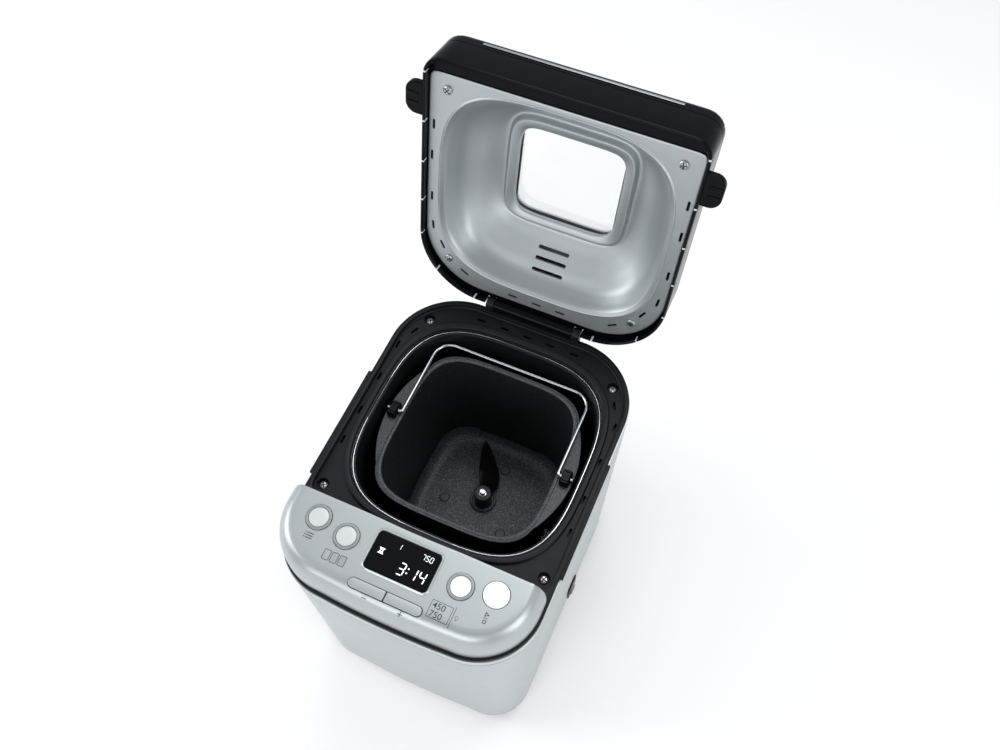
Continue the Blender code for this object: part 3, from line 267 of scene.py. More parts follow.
def tube(path, radius, sides):
    """A round wire along points, with its ends rounded over."""
    path = np.array(path, float)
    first, last = path[1] - path[0], path[-1] - path[-2]
    first, last = (run / np.linalg.norm(run) * radius * 0.4 for run in (first, last))
    path = np.vstack((path[0], path[0] + first, path[1:-1], path[-1] - last, path[-1]))
    radii = np.full(len(path), radius)
    radii[[0, -1]] = radius * 0.62
    tangents = np.roll(path, -1, 0) - np.roll(path, 1, 0)
    tangents[0], tangents[-1] = path[1] - path[0], path[-1] - path[-2]
    tangents /= np.linalg.norm(tangents, axis=1)[:, None]
    side = np.cross(tangents[0], (0.0, 0.0, 1.0))
    rings = []
    angles = math.tau * np.arange(sides) / sides
    for point, tangent, reach in zip(path, tangents, radii):
        side = side - tangent * (side @ tangent)
        side /= np.linalg.norm(side)
        other = np.cross(tangent, side)
        rings.append(point + reach * (np.outer(np.cos(angles), side) + np.outer(np.sin(angles), other)))
    return lofted(rings)


def turn_to(shape, matrix):
    """The same (points, faces) moved by a matrix."""
    points, faces = shape
    matrix = np.array(matrix)
    return points @ matrix[:3, :3].T + matrix[:3, 3], faces


def spun(x, y, turn):
    """To a place, after a turn about the upright axis in degrees."""
    return Matrix.Translation((x, y, 0)) @ Matrix.Rotation(math.radians(turn), 4, "Z")


def together(*shapes):
    points, faces, start = [], [], 0
    for shape_points, shape_faces in shapes:
        points.append(shape_points)
        faces += [[start + index for index in face] for face in shape_faces]
        start += len(shape_points)
    return np.vstack(points), faces


def mesh_of(name, shape):
    points, faces = shape
    bm = bmesh.new()
    mesh = bpy.data.meshes.new(name)
    mesh.from_pydata(np.asarray(points).tolist(), [], faces)
    bm.from_mesh(mesh)
    bmesh.ops.recalc_face_normals(bm, faces=bm.faces)
    bm.to_mesh(mesh)
    bm.free()
    return mesh


def add_object(name, mesh):
    obj = bpy.data.objects.new(name, mesh)
    bpy.context.scene.collection.objects.link(obj)
    return obj


def joined(shape, cutters=(), additions=()):
    """The mesh of a shape once other closed shapes are added to it and cut from it."""
    obj = add_object("work", mesh_of("work", shape))
    helpers = []
    for operation, others in (("UNION", additions), ("DIFFERENCE", cutters)):
        if not others:
            continue
        helper = add_object("helper", mesh_of("helper", together(*others)))
        modifier = obj.modifiers.new("join", "BOOLEAN")
        modifier.object = helper
        modifier.operation = operation
        modifier.solver = "EXACT"
        modifier.use_self = True
        helpers.append(helper)
    evaluated = obj.evaluated_get(bpy.context.evaluated_depsgraph_get())
    mesh = bpy.data.meshes.new_from_object(evaluated)
    for helper in [obj, *helpers]:
        bpy.data.objects.remove(helper)
    return mesh


def piece(name, shape, finish, body, nodes=(), place=CHAMBER, sharp=32):
    """One visible piece. Its shape is (points, faces) or a finished mesh."""
    mesh = shape if isinstance(shape, bpy.types.Mesh) else mesh_of(name, shape)
    mesh.name = name
    obj = add_object(name, mesh)
    obj.matrix_world = place
    mesh.materials.clear()
    mesh.materials.append(finish)
    mesh.shade_smooth()
    mesh.set_sharp_from_angle(angle=math.radians(sharp))
    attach(obj, body)
    if nodes:
        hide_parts(*nodes)
    return obj


def refinish(obj, finish, chosen):
    """A second finish on the faces that are chosen by their middles and normals."""
    obj.data.materials.append(finish)
    for face in obj.data.polygons:
        if chosen(face.center, face.normal):
            face.material_index = len(obj.data.materials) - 1


# ---------------------------------------------------------------- finishes


def surface(name, colour, roughness, metallic=0.0, spread=0.04, mottle=0.04, cloud=30.0,
    grain=(1500.0, 0.05), specks=None, specular=0.5):
    """A finish with cloudy colour, uneven gloss, fine grain and, if asked for, specks."""
    made = bpy.data.materials.new(name)
    made.use_nodes = True
    tree = made.node_tree
    shader = tree.nodes["Principled BSDF"]
    shader.inputs["Metallic"].default_value = metallic
    shader.inputs["Specular IOR Level"].default_value = specular
    place = tree.nodes.new("ShaderNodeTexCoord")

    def node(kind, **values):
        made_node = tree.nodes.new(kind)
        for key, value in values.items():
            made_node.inputs[key].default_value = value
        return made_node

    def join(source, target):
        tree.links.new(source, target)

    def noise(scale, detail):
        made_noise = node("ShaderNodeTexNoise", Scale=scale, Detail=detail)
        join(place.outputs["Object"], made_noise.inputs["Vector"])
        return made_noise.outputs["Fac"]

    def mix(factor):
        made_mix = tree.nodes.new("ShaderNodeMix")
        made_mix.data_type = "RGBA"
        join(factor, made_mix.inputs["Factor"])
        return made_mix

    tint = mix(noise(cloud, 4.0))
    for socket, share in (("A", 1 - mottle), ("B", 1 + mottle)):
        tint.inputs[socket].default_value = (*[channel * share for channel in colour], 1)
    if specks:
        speck_colour, scale, low, high = specks
        ramp = node("ShaderNodeMapRange", **{"From Min": low, "From Max": high})
        join(noise(scale, 1.0), ramp.inputs["Value"])
        over = mix(ramp.outputs["Result"])
        over.inputs["B"].default_value = (*speck_colour, 1)
        join(tint.outputs["Result"], over.inputs["A"])
        tint = over
    join(tint.outputs["Result"], shader.inputs["Base Color"])

    limits = {"To Min": max(roughness - spread, 0.02), "To Max": roughness + spread}
    gloss = node("ShaderNodeMapRange", **limits)
    join(noise(cloud * 3.1, 3.0), gloss.inputs["Value"])
    join(gloss.outputs["Result"], shader.inputs["Roughness"])

    grain_scale, grain_strength = grain
    bump = node("ShaderNodeBump", Strength=grain_strength, Distance=0.0002)
    join(noise(grain_scale, 2.0), bump.inputs["Height"])
    join(bump.outputs["Normal"], shader.inputs["Normal"])
    return made


def special(made, **values):
    """A finish with more of its shader's own numbers set; a name's underscores stand for spaces."""
    shader = made.node_tree.nodes["Principled BSDF"]
    for key, value in values.items():
        shader.inputs[key.replace("_", " ")].default_value = value
    return made


SILVER = surface("satin_silver_shell", (0.42, 0.45, 0.46), 0.36, 0.55, grain=(2600.0, 0.035), mottle=0.02)
PANEL_SILVER = surface("satin_silver_panel", (0.42, 0.45, 0.455), 0.38, 0.7, grain=(2400.0, 0.04),
    mottle=0.02)
TRIM_SILVER = surface("bright_silver_trim", (0.5, 0.53, 0.54), 0.3, 0.8, grain=(2600.0, 0.03), mottle=0.02)
LINING = surface("satin_aluminium", (0.43, 0.46, 0.47), 0.45, 0.85, grain=(2200.0, 0.06), mottle=0.035,
    cloud=18.0)
CHROME = surface("polished_chrome", (0.7, 0.72, 0.73), 0.12, 1.0, spread=0.03, mottle=0.01,
    grain=(500.0, 0.01))
STEEL_WIRE = surface("drawn_steel_wire", (0.5, 0.52, 0.53), 0.22, 1.0, spread=0.06, grain=(1800.0, 0.05),
    mottle=0.05)
ZINC = surface("zinc_plate", (0.48, 0.5, 0.52), 0.3, 0.95, spread=0.1, mottle=0.12, cloud=240.0)
DECK_BLACK = surface("moulded_black_plastic", (0.005, 0.006, 0.0065), 0.42, spread=0.07, mottle=0.25,
    cloud=60.0, grain=(1900.0, 0.16), specular=0.22)
GLOSS_BLACK = surface("glossy_black_plastic", (0.0015, 0.002, 0.003), 0.2, spread=0.05, mottle=0.2,
    grain=(900.0, 0.015), specular=0.1)
OVEN_BLACK = surface("coated_oven_steel", (0.007, 0.0075, 0.008), 0.38, 0.1, spread=0.08, mottle=0.25,
    cloud=45.0, grain=(900.0, 0.1), specular=0.22)
NONSTICK = surface("speckled_nonstick", (0.011, 0.012, 0.0125), 0.42, 0.1, spread=0.08, mottle=0.18,
    cloud=80.0, grain=(1300.0, 0.2), specks=((0.07, 0.075, 0.08), 1500.0, 0.6, 0.74), specular=0.3)
# The same speckled coating, made lighter for the pan's top rim: painted light falling on the upward band.
NONSTICK_RIM_PAINTED_LIGHT = surface("nonstick_rim_painted_light", (0.045, 0.048, 0.051), 0.44, 0.3, spread=0.08, mottle=0.18,
    cloud=80.0, grain=(1300.0, 0.22), specks=((0.22, 0.23, 0.24), 1500.0, 0.54, 0.72), specular=0.4)
# The same speckled coating, made lighter for the upward-facing pan floor: painted light. The walls keep the
# darker base colour as painted shade.
NONSTICK_FLOOR_PAINTED_LIGHT = surface("nonstick_floor_painted_light", (0.05, 0.053, 0.055), 0.44, 0.2, spread=0.08,
    mottle=0.22, cloud=60.0, grain=(1300.0, 0.22), specks=((0.26, 0.27, 0.28), 1300.0, 0.55, 0.7),
    specular=0.4)
PADDLE_BLACK = surface("paddle_nonstick", (0.006, 0.006, 0.0065), 0.34, 0.1, spread=0.08, mottle=0.2,
    grain=(1500.0, 0.12), specular=0.35)
RUBBER = surface("black_rubber", (0.012, 0.012, 0.013), 0.72, spread=0.06, mottle=0.15, grain=(1400.0, 0.2),
    specular=0.25)
SCREEN = surface("display_glass", (0.0015, 0.002, 0.003), 0.1, spread=0.02, mottle=0.1,
    grain=(300.0, 0.004), specular=0.16)
SEGMENTS = special(surface("display_segments", (0.86, 0.93, 1.0), 0.4, grain=(800.0, 0.02)),
    Emission_Color=(0.86, 0.93, 1.0, 1), Emission_Strength=1.1)
BUTTON_RING = surface("button_ring_grey", (0.29, 0.31, 0.315), 0.34, 0.5, grain=(2200.0, 0.04))
BUTTON_FACE = surface("button_face_grey", (0.58, 0.61, 0.605), 0.36, 0.1, grain=(2200.0, 0.04), mottle=0.02)
BUTTON_WHITE = surface("button_face_white", (0.9, 0.91, 0.9), 0.34, grain=(2200.0, 0.03), mottle=0.01)
KEY_SILVER = surface("satin_silver_key", (0.42, 0.445, 0.45), 0.38, 0.6, grain=(2400.0, 0.04), mottle=0.02)
# Dark print ink for the panel symbols; also laid into the screws' cross recesses as painted shade.
INK_AND_RECESS_SHADE = surface("printed_ink_and_painted_recess_shade", (0.035, 0.037, 0.04), 0.55, grain=(2600.0, 0.05))
INK_GREY = surface("printed_grey_ink", (0.3, 0.32, 0.32), 0.55, grain=(2600.0, 0.05))
GASKET = surface("black_gasket", (0.006, 0.006, 0.006), 0.5, mottle=0.2, grain=(1500.0, 0.12))
BOARD = surface("circuit_board", (0.02, 0.12, 0.05), 0.42, mottle=0.3, cloud=400.0, grain=(900.0, 0.2))
NYLON = surface("white_nylon", (0.68, 0.68, 0.65), 0.48, mottle=0.05, grain=(1200.0, 0.08), specular=0.4)
BRONZE = surface("sintered_bronze", (0.4, 0.26, 0.12), 0.42, 0.9, mottle=0.2, cloud=300.0,
    grain=(2500.0, 0.25))
CAST = surface("cast_aluminium", (0.46, 0.48, 0.49), 0.46, 0.85, spread=0.1, mottle=0.15, cloud=90.0,
    grain=(1600.0, 0.25))
ELEMENT = surface("oxidised_sheath", (0.06, 0.058, 0.056), 0.48, 0.6, spread=0.1, mottle=0.35, cloud=150.0,
    grain=(1300.0, 0.15))
GLASS = special(surface("window_glass", (0.95, 0.98, 0.98), 0.03, spread=0.01, mottle=0.01,
    grain=(60.0, 0.004)), Transmission_Weight=1.0, IOR=1.47, Alpha=0.4)

# ---------------------------------------------------------------- shared shapes

TO_REAR = Matrix.Rotation(math.radians(-90), 4, "X")
TO_RIGHT = Matrix.Rotation(math.radians(90), 4, "Y")
QUARTER = [math.radians(15 * step) for step in range(7)]


def rear_plug(x, z, half_x, half_z, radius, low, high):
    """A rounded block along Y between two depths."""
    return turn_to(pad(x, -z, half_x, half_z, radius, [(0, low), (0, high)]), TO_REAR)


def side_plug(y, z, half_y, half_z, radius, low, high):
    """A rounded block along X between two widths."""
    return turn_to(pad(-z, y, half_z, half_y, radius, [(0, low), (0, high)]), TO_RIGHT)


def rod_along_x(low, high, y, z, radius, edge=0.0004):
    profile = [(radius - edge, low), (radius, low + edge), (radius, high - edge), (radius - edge, high)]
    return turn_to(turned(profile, -z, y, 40), TO_RIGHT)


def slot_cutter(half_x, low, high, x, y, turn):
    return turn_to(pad(0, 0, half_x, 0.0011, 0.00105, [(0, low), (0, high)]), spun(x, y, turn))


def four_places(front, rear):
    """Two places mirrored to the left, by name."""
    return {row + "_" + side: (sign * x, y) for row, (x, y) in (("front", front), ("rear", rear))
        for side, sign in (("left", -1), ("right", 1))}


def drawn_in(outline, inset):
    """An outline with each of its points moved towards the chamber's axis."""
    reach = np.linalg.norm(outline, axis=1)[:, None]
    return outline * (1 - inset / reach)


def bar(start, end, width, low, high):
    """A thin flat bar between two points of the control panel."""
    run = np.subtract(end, start)
    turn = Matrix.Rotation(math.atan2(run[1], run[0]), 4, "Z")
    shape = block((0, -width / 2, low), (math.hypot(*run), width / 2, high), bevel=0)
    return turn_to(shape, Matrix.Translation((*start, 0)) @ turn)


def strokes(points, width, low, high):
    """Flat bars from each point to the next, overlapping where they meet."""
    shapes = []
    for start, end in zip(points, points[1:]):
        start, end = np.array(start, float), np.array(end, float)
        reach = (end - start) / np.linalg.norm(end - start) * width / 2
        shapes.append(bar(start - reach, end + reach, width, low, high))
    return together(*shapes)


def frame_of(x, y, half_x, half_y, radius, width, low, high):
    """A flat rounded frame."""
    return pad(x, y, half_x, half_y, radius, [(0, low), (0, high), (width, high), (width, low)], True, 5)


def screw_mesh():
    """A pan-head screw with a cross recess, the underside of its head at z = 0."""
    head = [(0.0015, -0.003), (0.0015, 0.0), (0.0036, 0.0), (0.0036, 0.001, 0.0004),
        (0.0026, 0.0017, 0.001), (0.0, 0.002)]
    wing = block((-0.0023, -0.00048, 0.0009), (0.0023, 0.00048, 0.004), bevel=0)
    return joined(turned(head, count=40), [turn_to(wing, spun(0, 0, turn)) for turn in (0, 90)])


# Faces inside a screw's cross recess, which take the dark ink as painted shade.
def in_recess_painted_dark(centre, normal):
    return 0.0005 < centre.z < 0.00175 and math.hypot(centre.x, centre.y) < 0.0026


DECK_SCREWS = four_places((0.099, -0.091), (0.0886, 0.0886))
LID_SCREWS = four_places((0.093, -0.0794), (0.0855, 0.0854))

# ---------------------------------------------------------------- housing


def make_shell():
    outer = [(0.008 * (1 - math.sin(t)), SHELL_BOTTOM + 0.01 * (1 - math.cos(t))) for t in QUARTER]
    inner = [(0.002 + 0.0066 * (1 - math.sin(t)), 0.0056 + 0.0094 * (1 - math.cos(t)))
        for t in reversed(QUARTER)]
    top = [(0.0, SHELL_TOP, 0.0005), (0.002, SHELL_TOP, 0.0005)]
    middle = [(0.0, 0.06 + 0.06 * step) for step in range(3)]
    shape = swept(housing, outer + middle + top + inner, loop=True)
    cutters = [rear_plug(-0.04 + 0.016 * column, 0.05 + 0.016 * row, 0.0055, 0.0016, 0.0015, 0.105, 0.13)
        for row in range(3) for column in range(6)]
    cutters.append(rear_plug(0.06, 0.028, 0.0066, 0.0066, 0.0065, 0.1, 0.13))
    cutters.append(side_plug(-0.028, 0.045, 0.0076, 0.0124, 0.001, 0.098, 0.12))
    piece("outer_shell", joined(shape, cutters), SILVER, "housing", ["body_shell"])
    band = [(0.0, TRIM_LOW, 0.0007), (0.0, TRIM_HIGH, 0.0007), (0.0024, TRIM_HIGH, 0.0004),
        (0.0024, TRIM_LOW, 0.0004)]
    shape = swept(lambda inset, z: housing(inset, SHELL_TOP), band)
    piece("trim_ring", shape, TRIM_SILVER, "housing", ["trim_band"])
    foot = [(0.0, 0.0), (0.0092, 0.0, 0.0012), (0.01, 0.0057, 0.0004), (0.0, 0.0057)]
    for place, (x, y) in four_places((0.072, -0.135), (0.072, 0.078)).items():
        shape = turned(foot, x, y)
        piece("rubber_foot_" + place, shape, RUBBER, "housing", ["foot_" + place])


def make_deck():
    """Black moulding round the chamber's mouth: lip, channel, raised ring and hinge lugs."""

    def outer(inset):
        return about_chamber(housing(inset, SHELL_TOP))

    channel = rounded(HALF_WIDTH - 0.0052, -0.1032, REAR - 0.0054, 0.012, 0.0566, 60, 120)
    channel = about_chamber(channel)
    outer_steps = [(0.0034, 0.244), (0.0034, DECK_SKIRT), (0.0008, DECK_SKIRT), (0.0008, 0.2588),
        (0.001, 0.2592), (0.0015, DECK_TOP)]
    channel_steps = [(-0.0006, DECK_TOP), (-0.0002, 0.2593), (0.0, 0.2588), (0.0, 0.2556),
        (0.0006, CHANNEL_FLOOR)]
    ring_steps = [(0.102, CHANNEL_FLOOR), (0.1016, 0.2554), (0.1014, 0.2576), (0.1009, 0.2582),
        (0.1002, 0.2583), (0.0978, 0.2583), (0.0968, 0.258), (0.0961, 0.2573), (0.0957, 0.2562),
        (0.0956, 0.2541), (0.0956, 0.2526), (0.0966, 0.2524), (0.0966, 0.244)]
    rings = rings_at(outer, outer_steps) + rings_at(lambda inset: drawn_in(channel, inset), channel_steps)
    rings += rings_at(squircle, ring_steps)
    additions, places = [], [(x, 0.1062, 0) for x in (-0.045, -0.022, 0.0, 0.022, 0.045)]
    for side in (-1, 1):
        low, high = sorted((side * 0.108, side * 0.1132))
        additions.append(block((low, -0.0874, 0.2556), (high, 0.0176, 0.2591), 0.0007, 3))
        low, high = sorted((side * (BARREL_HALF + 0.0004), side * HINGE_HALF))
        lug = block((low, HINGE_Y - 0.0056, 0.256), (high, HINGE_Y + 0.001, HINGE_Z - 0.001))
        additions += [rod_along_x(low, high, HINGE_Y, HINGE_Z, 0.0057), lug]
        places += [(side * 0.1034, y, 90) for y in (-0.0485, -0.018, 0.018, 0.0534)]
        places.append((side * 0.096, 0.0725, 90 + side * 24))
    cutters = [slot_cutter(0.0042, 0.25, 0.256, *row) for row in places]
    cutters.append(rod_along_x(-0.05, 0.05, HINGE_Y, HINGE_Z, 0.0022))
    cutters += [turned([(0.0052, 0.2506), (0.0052, 0.256)], x, y) for x, y in DECK_SCREWS.values()]
    mesh = joined(lofted(rings, loop=True), cutters, additions)
    piece("deck_moulding", mesh, DECK_BLACK, "housing", ["deck_frame"])


def make_screws():
    head = screw_mesh()
    over = Matrix.Rotation(math.pi, 4, "X")
    for part, body, base, places, z, tip, turns in (("deck", "housing", CHAMBER, DECK_SCREWS, 0.2509,
        Matrix.Identity(4), (35, -20)), ("lid", "lid", LID, LID_SCREWS, LINING_Z - 0.0003, over, (48, 12))):
        for place, (x, y) in places.items():
            matrix = base @ Matrix.Translation((x, y, z)) @ tip @ spun(0, 0, turns[x > 0])
            node = [part + "_screw_" + place]
            screw = piece(part + "_cross_screw_" + place, head.copy(), ZINC, body, node,
                matrix)
            # The cross recess is coloured dark: painted shade in the recess.
            refinish(screw, INK_AND_RECESS_SHADE, in_recess_painted_dark)
    bpy.data.meshes.remove(head)


# ---------------------------------------------------------------- controls


def panel_outline(inset, back=0.0):
    outline = rounded(HALF_WIDTH + 0.001 - inset, FRONT + inset, PANEL_BACK - back, FRONT_RADIUS - inset,
        0.0036, arc=30, straight=20)
    outline[:, 0] *= np.where(outline[:, 0] < 0, 1.012, 0.994)
    outline = bowed(outline)
    outline[:, 1] = np.minimum(outline[:, 1], PANEL_BACK + PANEL_REACH - back)
    return outline


def make_control_panel():
    """A moulded cover: flat on top, rolled down to the deck at the front and the sides."""
    roll = eased([(0.0034, PANEL_BOTTOM), (0.0036, 0.27), (0.005, 0.279), (0.0086, 0.2858),
        (0.0128, 0.2892), (0.0164, PANEL_TOP - 0.00005)], 22)
    skin = 0.0022
    under = [(inset + skin, z - 0.0017) for inset, z in reversed(roll[2:])]
    rings = [ring(panel_outline(inset, skin), z) for inset, z in under]
    rings.append(ring(panel_outline(roll[0][0] + skin, skin), PANEL_BOTTOM))
    for index, (inset, z) in enumerate(roll):
        back = 0.0004 * max(0.0, index / 21 - 0.9) * 10
        rings.append(ring(panel_outline(inset, back), z))
    rings += [ring(panel_outline(0.0179, 0.001), PANEL_TOP), ring(panel_outline(0.0198, 0.002), PANEL_TOP)]
    low, high = 0.28, 0.295
    holes = [turned([(0.0107, low), (0.0107, high)], x, y, 72) for x, y in BUTTONS.values()]
    half_x, half_y, y = DISPLAY
    for row in ((0, y, half_x + 0.0003, half_y + 0.0003), (0, KEY_BAR_Y, 0.0308, 0.0043)):
        holes.append(pad(*row, 0.0041, [(0, low), (0, high)]))
    mesh = joined(lofted(rings), holes)
    piece("control_cover", mesh, PANEL_SILVER, "housing", ["control_panel"])


def make_buttons():
    ring_steps = [(0.0103, 0.2858), (0.0103, 0.2912, 0.0006), (0.0084, 0.2912, 0.0005),
        (0.0081, 0.2904, 0.0002), (0.0081, 0.2858)]
    face_steps = [(0.0, 0.287), (0.0079, 0.287), (0.0079, 0.2909, 0.0005), (0.004, 0.2911, 0.004),
        (0.0, 0.2911)]
    plain_steps = [(0.0, 0.2858), (0.0101, 0.2858), (0.0101, 0.2911, 0.0006), (0.006, 0.2912, 0.003),
        (0.0, 0.2912)]
    for name, (x, y) in BUTTONS.items():
        body = name + "_key"
        if name == "start":
            face = turned(plain_steps, x, y, 72)
            piece("start_button_face", face, BUTTON_WHITE, body, ["start_button"])
            continue
        edge = turned(ring_steps, x, y, 72, loop=True)
        piece(name + "_button_ring", edge, BUTTON_RING, body, [name + "_button"])
        face = turned(face_steps, x, y, 72)
        finish = BUTTON_WHITE if name == "weight" else BUTTON_FACE
        piece(name + "_button_face", face, finish, body, [])


def make_keys():
    """Two halves of one long bar."""
    for name, turn in (("minus", 90), ("plus", -90)):

        def half_bar(inset, z):
            near, far = max(0.0006 - inset, 0.0002), 0.0036 - inset
            return rounded(0.0037 - inset, 0.0005 + inset, 0.0302 - inset, near, far, 8, 3)

        steps = [(0.0, 0.2862), (0.0, 0.2912, 0.0005), (0.003, 0.29125)]
        shape = turn_to(swept(half_bar, steps, loop=False, steps=5), spun(0, KEY_BAR_Y, turn))
        piece(name + "_half_bar", shape, KEY_SILVER, name + "_bar", [name + "_key"])


SEVEN_SEGMENTS = {"0": "abcdef", "1": "bc", "3": "abcdg", "4": "bcfg", "5": "acdfg", "7": "abc"}


def seven_segment(character, x, y, height, low, high):
    """One slanted digit whose lower left corner is at (x, y)."""
    width, thick, slant = 0.5 * height, 0.088 * height, 0.08
    middle = height / 2
    ends = {"a": ((0, height), (width, height)), "b": ((width, middle), (width, height)),
        "c": ((width, 0), (width, middle)), "d": ((0, 0), (width, 0)), "e": ((0, 0), (0, middle)),
        "f": ((0, middle), (0, height)), "g": ((0, middle), (width, middle))}
    shapes = []
    for name in SEVEN_SEGMENTS[character]:
        start, end = (np.array(point, float) for point in ends[name])
        gap = (end - start) / np.linalg.norm(end - start) * thick * 0.62
        start, end = start + gap, end - gap
        start[0], end[0] = start[0] + slant * start[1], end[0] + slant * end[1]
        shapes.append(bar(start + (x, y), end + (x, y), thick, low, high))
    return together(*shapes)


def number(text, x, y, height, low, high):
    digits = []
    for character in text:
        digits.append(seven_segment(character, x, y, height, low, high))
        x += 0.78 * height
    return together(*digits)


def make_display():
    half_x, half_y, y = DISPLAY
    glass = pad(0, y, half_x, half_y, 0.0038, [(0, 0.2876), (0, 0.2897, 0.0002), (0.0006, 0.2897)])
    piece("display_glass_plate", glass, SCREEN, "housing", ["display_window"])
    bezel = [(0.0, 0.2901), (0.0, 0.2903), (0.0006, 0.2909, 0.0004), (0.0013, 0.2908, 0.0003),
        (0.0017, 0.2901)]
    shape = pad(0, y, half_x + 0.0018, half_y + 0.0018, 0.0056, bezel, True, 12)
    piece("display_frame", shape, TRIM_SILVER, "housing", ["display_bezel"])
    low, high = 0.28971, 0.28978
    shapes = [number(text, x, y + up, height, low, high)
        for text, x, up, height in (("3", -0.001, -0.0105, 0.0092), ("14", 0.009, -0.0105, 0.0092),
        ("1", -0.008, 0.0072, 0.004), ("750", 0.012, 0.007, 0.0042))]
    for x, up in ((0.0065, -0.0078), (0.0068, -0.0042)):
        shapes.append(bar((x, y + up), (x, y + up + 0.001), 0.001, low, high))
    middle, icon_y = -0.0186, y + 0.0009
    waist = ((0.0016, 0.0018), (0.0008, 0.0), (0.0016, -0.0018))
    hourglass = [([(side * reach, up) for reach, up in waist], 0.00045) for side in (-1, 1)]
    for half, up, width in ((0.002, -0.0021, 0.0005), (0.002, 0.0021, 0.0005), (0.0008, -0.0013, 0.001),
        (0.0006, 0.0011, 0.0008)):
        hourglass.append(([(-half, up), (half, up)], width))
    for points, width in hourglass:
        shapes.append(strokes([(middle + x, icon_y + up) for x, up in points], width, low, high))
    piece("display_lit_segments", together(*shapes), SEGMENTS, "housing")


def text_plate(text, x, y, height, low, high):
    """Plain printed figures in Blender's own typeface, as a thin raised plate."""
    curve = bpy.data.curves.new("figures", "FONT")
    curve.body = text
    curve.size = height * 1.42
    curve.extrude = (high - low) / 2
    curve.offset = height * 0.006
    holder = add_object("figures", curve)
    holder.location = (x, y, (low + high) / 2)
    bpy.context.view_layer.update()
    mesh = bpy.data.meshes.new_from_object(holder.evaluated_get(bpy.context.evaluated_depsgraph_get()))
    mesh.transform(holder.matrix_world)
    bm = bmesh.new()
    bm.from_mesh(mesh)
    bmesh.ops.remove_doubles(bm, verts=bm.verts, dist=1e-7)
    shape = arrays(bm)
    bpy.data.objects.remove(holder)
    bpy.data.meshes.remove(mesh)
    return shape


def make_panel_marks():
    """Small generic symbols by the buttons: nothing here is a word or a name."""
    low, high = PANEL_TOP, PANEL_TOP + INK_DEPTH
    sign_y, loaf_y = KEY_BAR_Y - 0.0072, -0.15
    loaves = [-0.0552 + 0.0066 * index for index in range(3)]
    lines = [([(start, y), (end, y)], 0.0007) for y in (-0.1402, -0.1422, -0.1442)
        for start, end in ((-0.077, -0.0722), (-0.0788, -0.0783))]
    lines += [([(-0.0155, sign_y), (-0.0121, sign_y)], 0.0006),
        ([(0.0143, sign_y), (0.0177, sign_y)], 0.0006),
        ([(0.016, sign_y - 0.0017), (0.016, sign_y + 0.0017)], 0.0006),
        ([(0.0522, -0.1466), (0.0522, -0.1632)], 0.0004), ([(0.0546, -0.1557), (0.0558, -0.1557)], 0.0004),
        ([(0.0735, -0.1439), (0.0735, -0.1411), (0.0761, -0.1425), (0.0735, -0.1439)], 0.0006),
        ([(0.0733, -0.1452), (0.0761, -0.1452)], 0.0005)]
    frames = [(0.042, -0.1545, 0.0086, 0.0068, 0.0007, 0.0004),
        (0.0552, -0.1537, 0.0012, 0.0014, 0.0011, 0.0003), (0.0747, -0.148, 0.0014, 0.0014, 0.0002, 0.0006)]
    frames += [(x, loaf_y, 0.0029, 0.0042, 0.001, 0.0005) for x in loaves]
    marks = [strokes(points, width, low, high) for points, width in lines]
    marks += [frame_of(*row, low, high) for row in frames]
    marks += [text_plate(text, 0.035, y, 0.0048, low, high)
        for text, y in (("450", -0.1536), ("750", -0.1602))]
    piece("panel_symbols", together(*marks), INK_AND_RECESS_SHADE, "housing")
    shades = [strokes([(x - 0.0022, y), (x + 0.0022, y)], 0.0007, low, high - 0.00001)
        for x, count in ((loaves[1], 4), (loaves[2], 8))
        for y in loaf_y - 0.0034 + 0.0068 * (np.arange(count) + 0.5) / count]
    piece("panel_shade_symbols", together(*shades), INK_GREY, "housing")


def make_switch():
    shape = block((0.095, -0.035, 0.0332), (0.1088, -0.021, 0.0568), 0.0004)
    flange = side_plug(-0.028, 0.045, 0.0092, 0.014, 0.0016, 0.1082, 0.1096)
    recess = block((0.0985, -0.0338, 0.0344), (0.112, -0.0222, 0.0556), 0.0)
    mesh = joined(shape, [recess], [flange])
    piece("switch_surround", mesh, DECK_BLACK, "housing", ["switch_housing"])
    tilt = Matrix.Rotation(math.radians(-7), 4, "Y")
    place = CHAMBER @ Matrix.Translation((0.1062, -0.028, 0.045)) @ tilt
    shape = block((-0.0042, -0.0054, -0.0096), (0.004, 0.0054, 0.0096), 0.0009, 3)
    marks = [block((0.0038, -0.0003, 0.0038), (0.005, 0.0003, 0.0066), 0.0)]
    marks.append(side_plug(0.0, -0.0052, 0.0016, 0.0016, 0.0015, 0.0038, 0.005))
    mesh = joined(shape, marks)
    piece("switch_rocker_cap", mesh, GLOSS_BLACK, "switch_rocker", ["power_switch"], place)


def make_gland():
    rear = REAR - REAR_TAPER * (SHELL_TOP - 0.028) / SHELL_TOP
    steps = [(0.0063, rear - 0.01), (0.0063, rear + 0.0003), (0.009, rear + 0.0003, 0.0003),
        (0.0086, rear + 0.0022, 0.0012), (0.007, rear + 0.004, 0.0006), (0.0038, rear + 0.004, 0.0004),
        (0.0038, rear - 0.01)]
    shape = turn_to(turned(steps, 0.06, -0.028, loop=True), TO_REAR)
    piece("lead_bush", shape, RUBBER, "housing", ["cord_gland"])


# ---------------------------------------------------------------- chamber


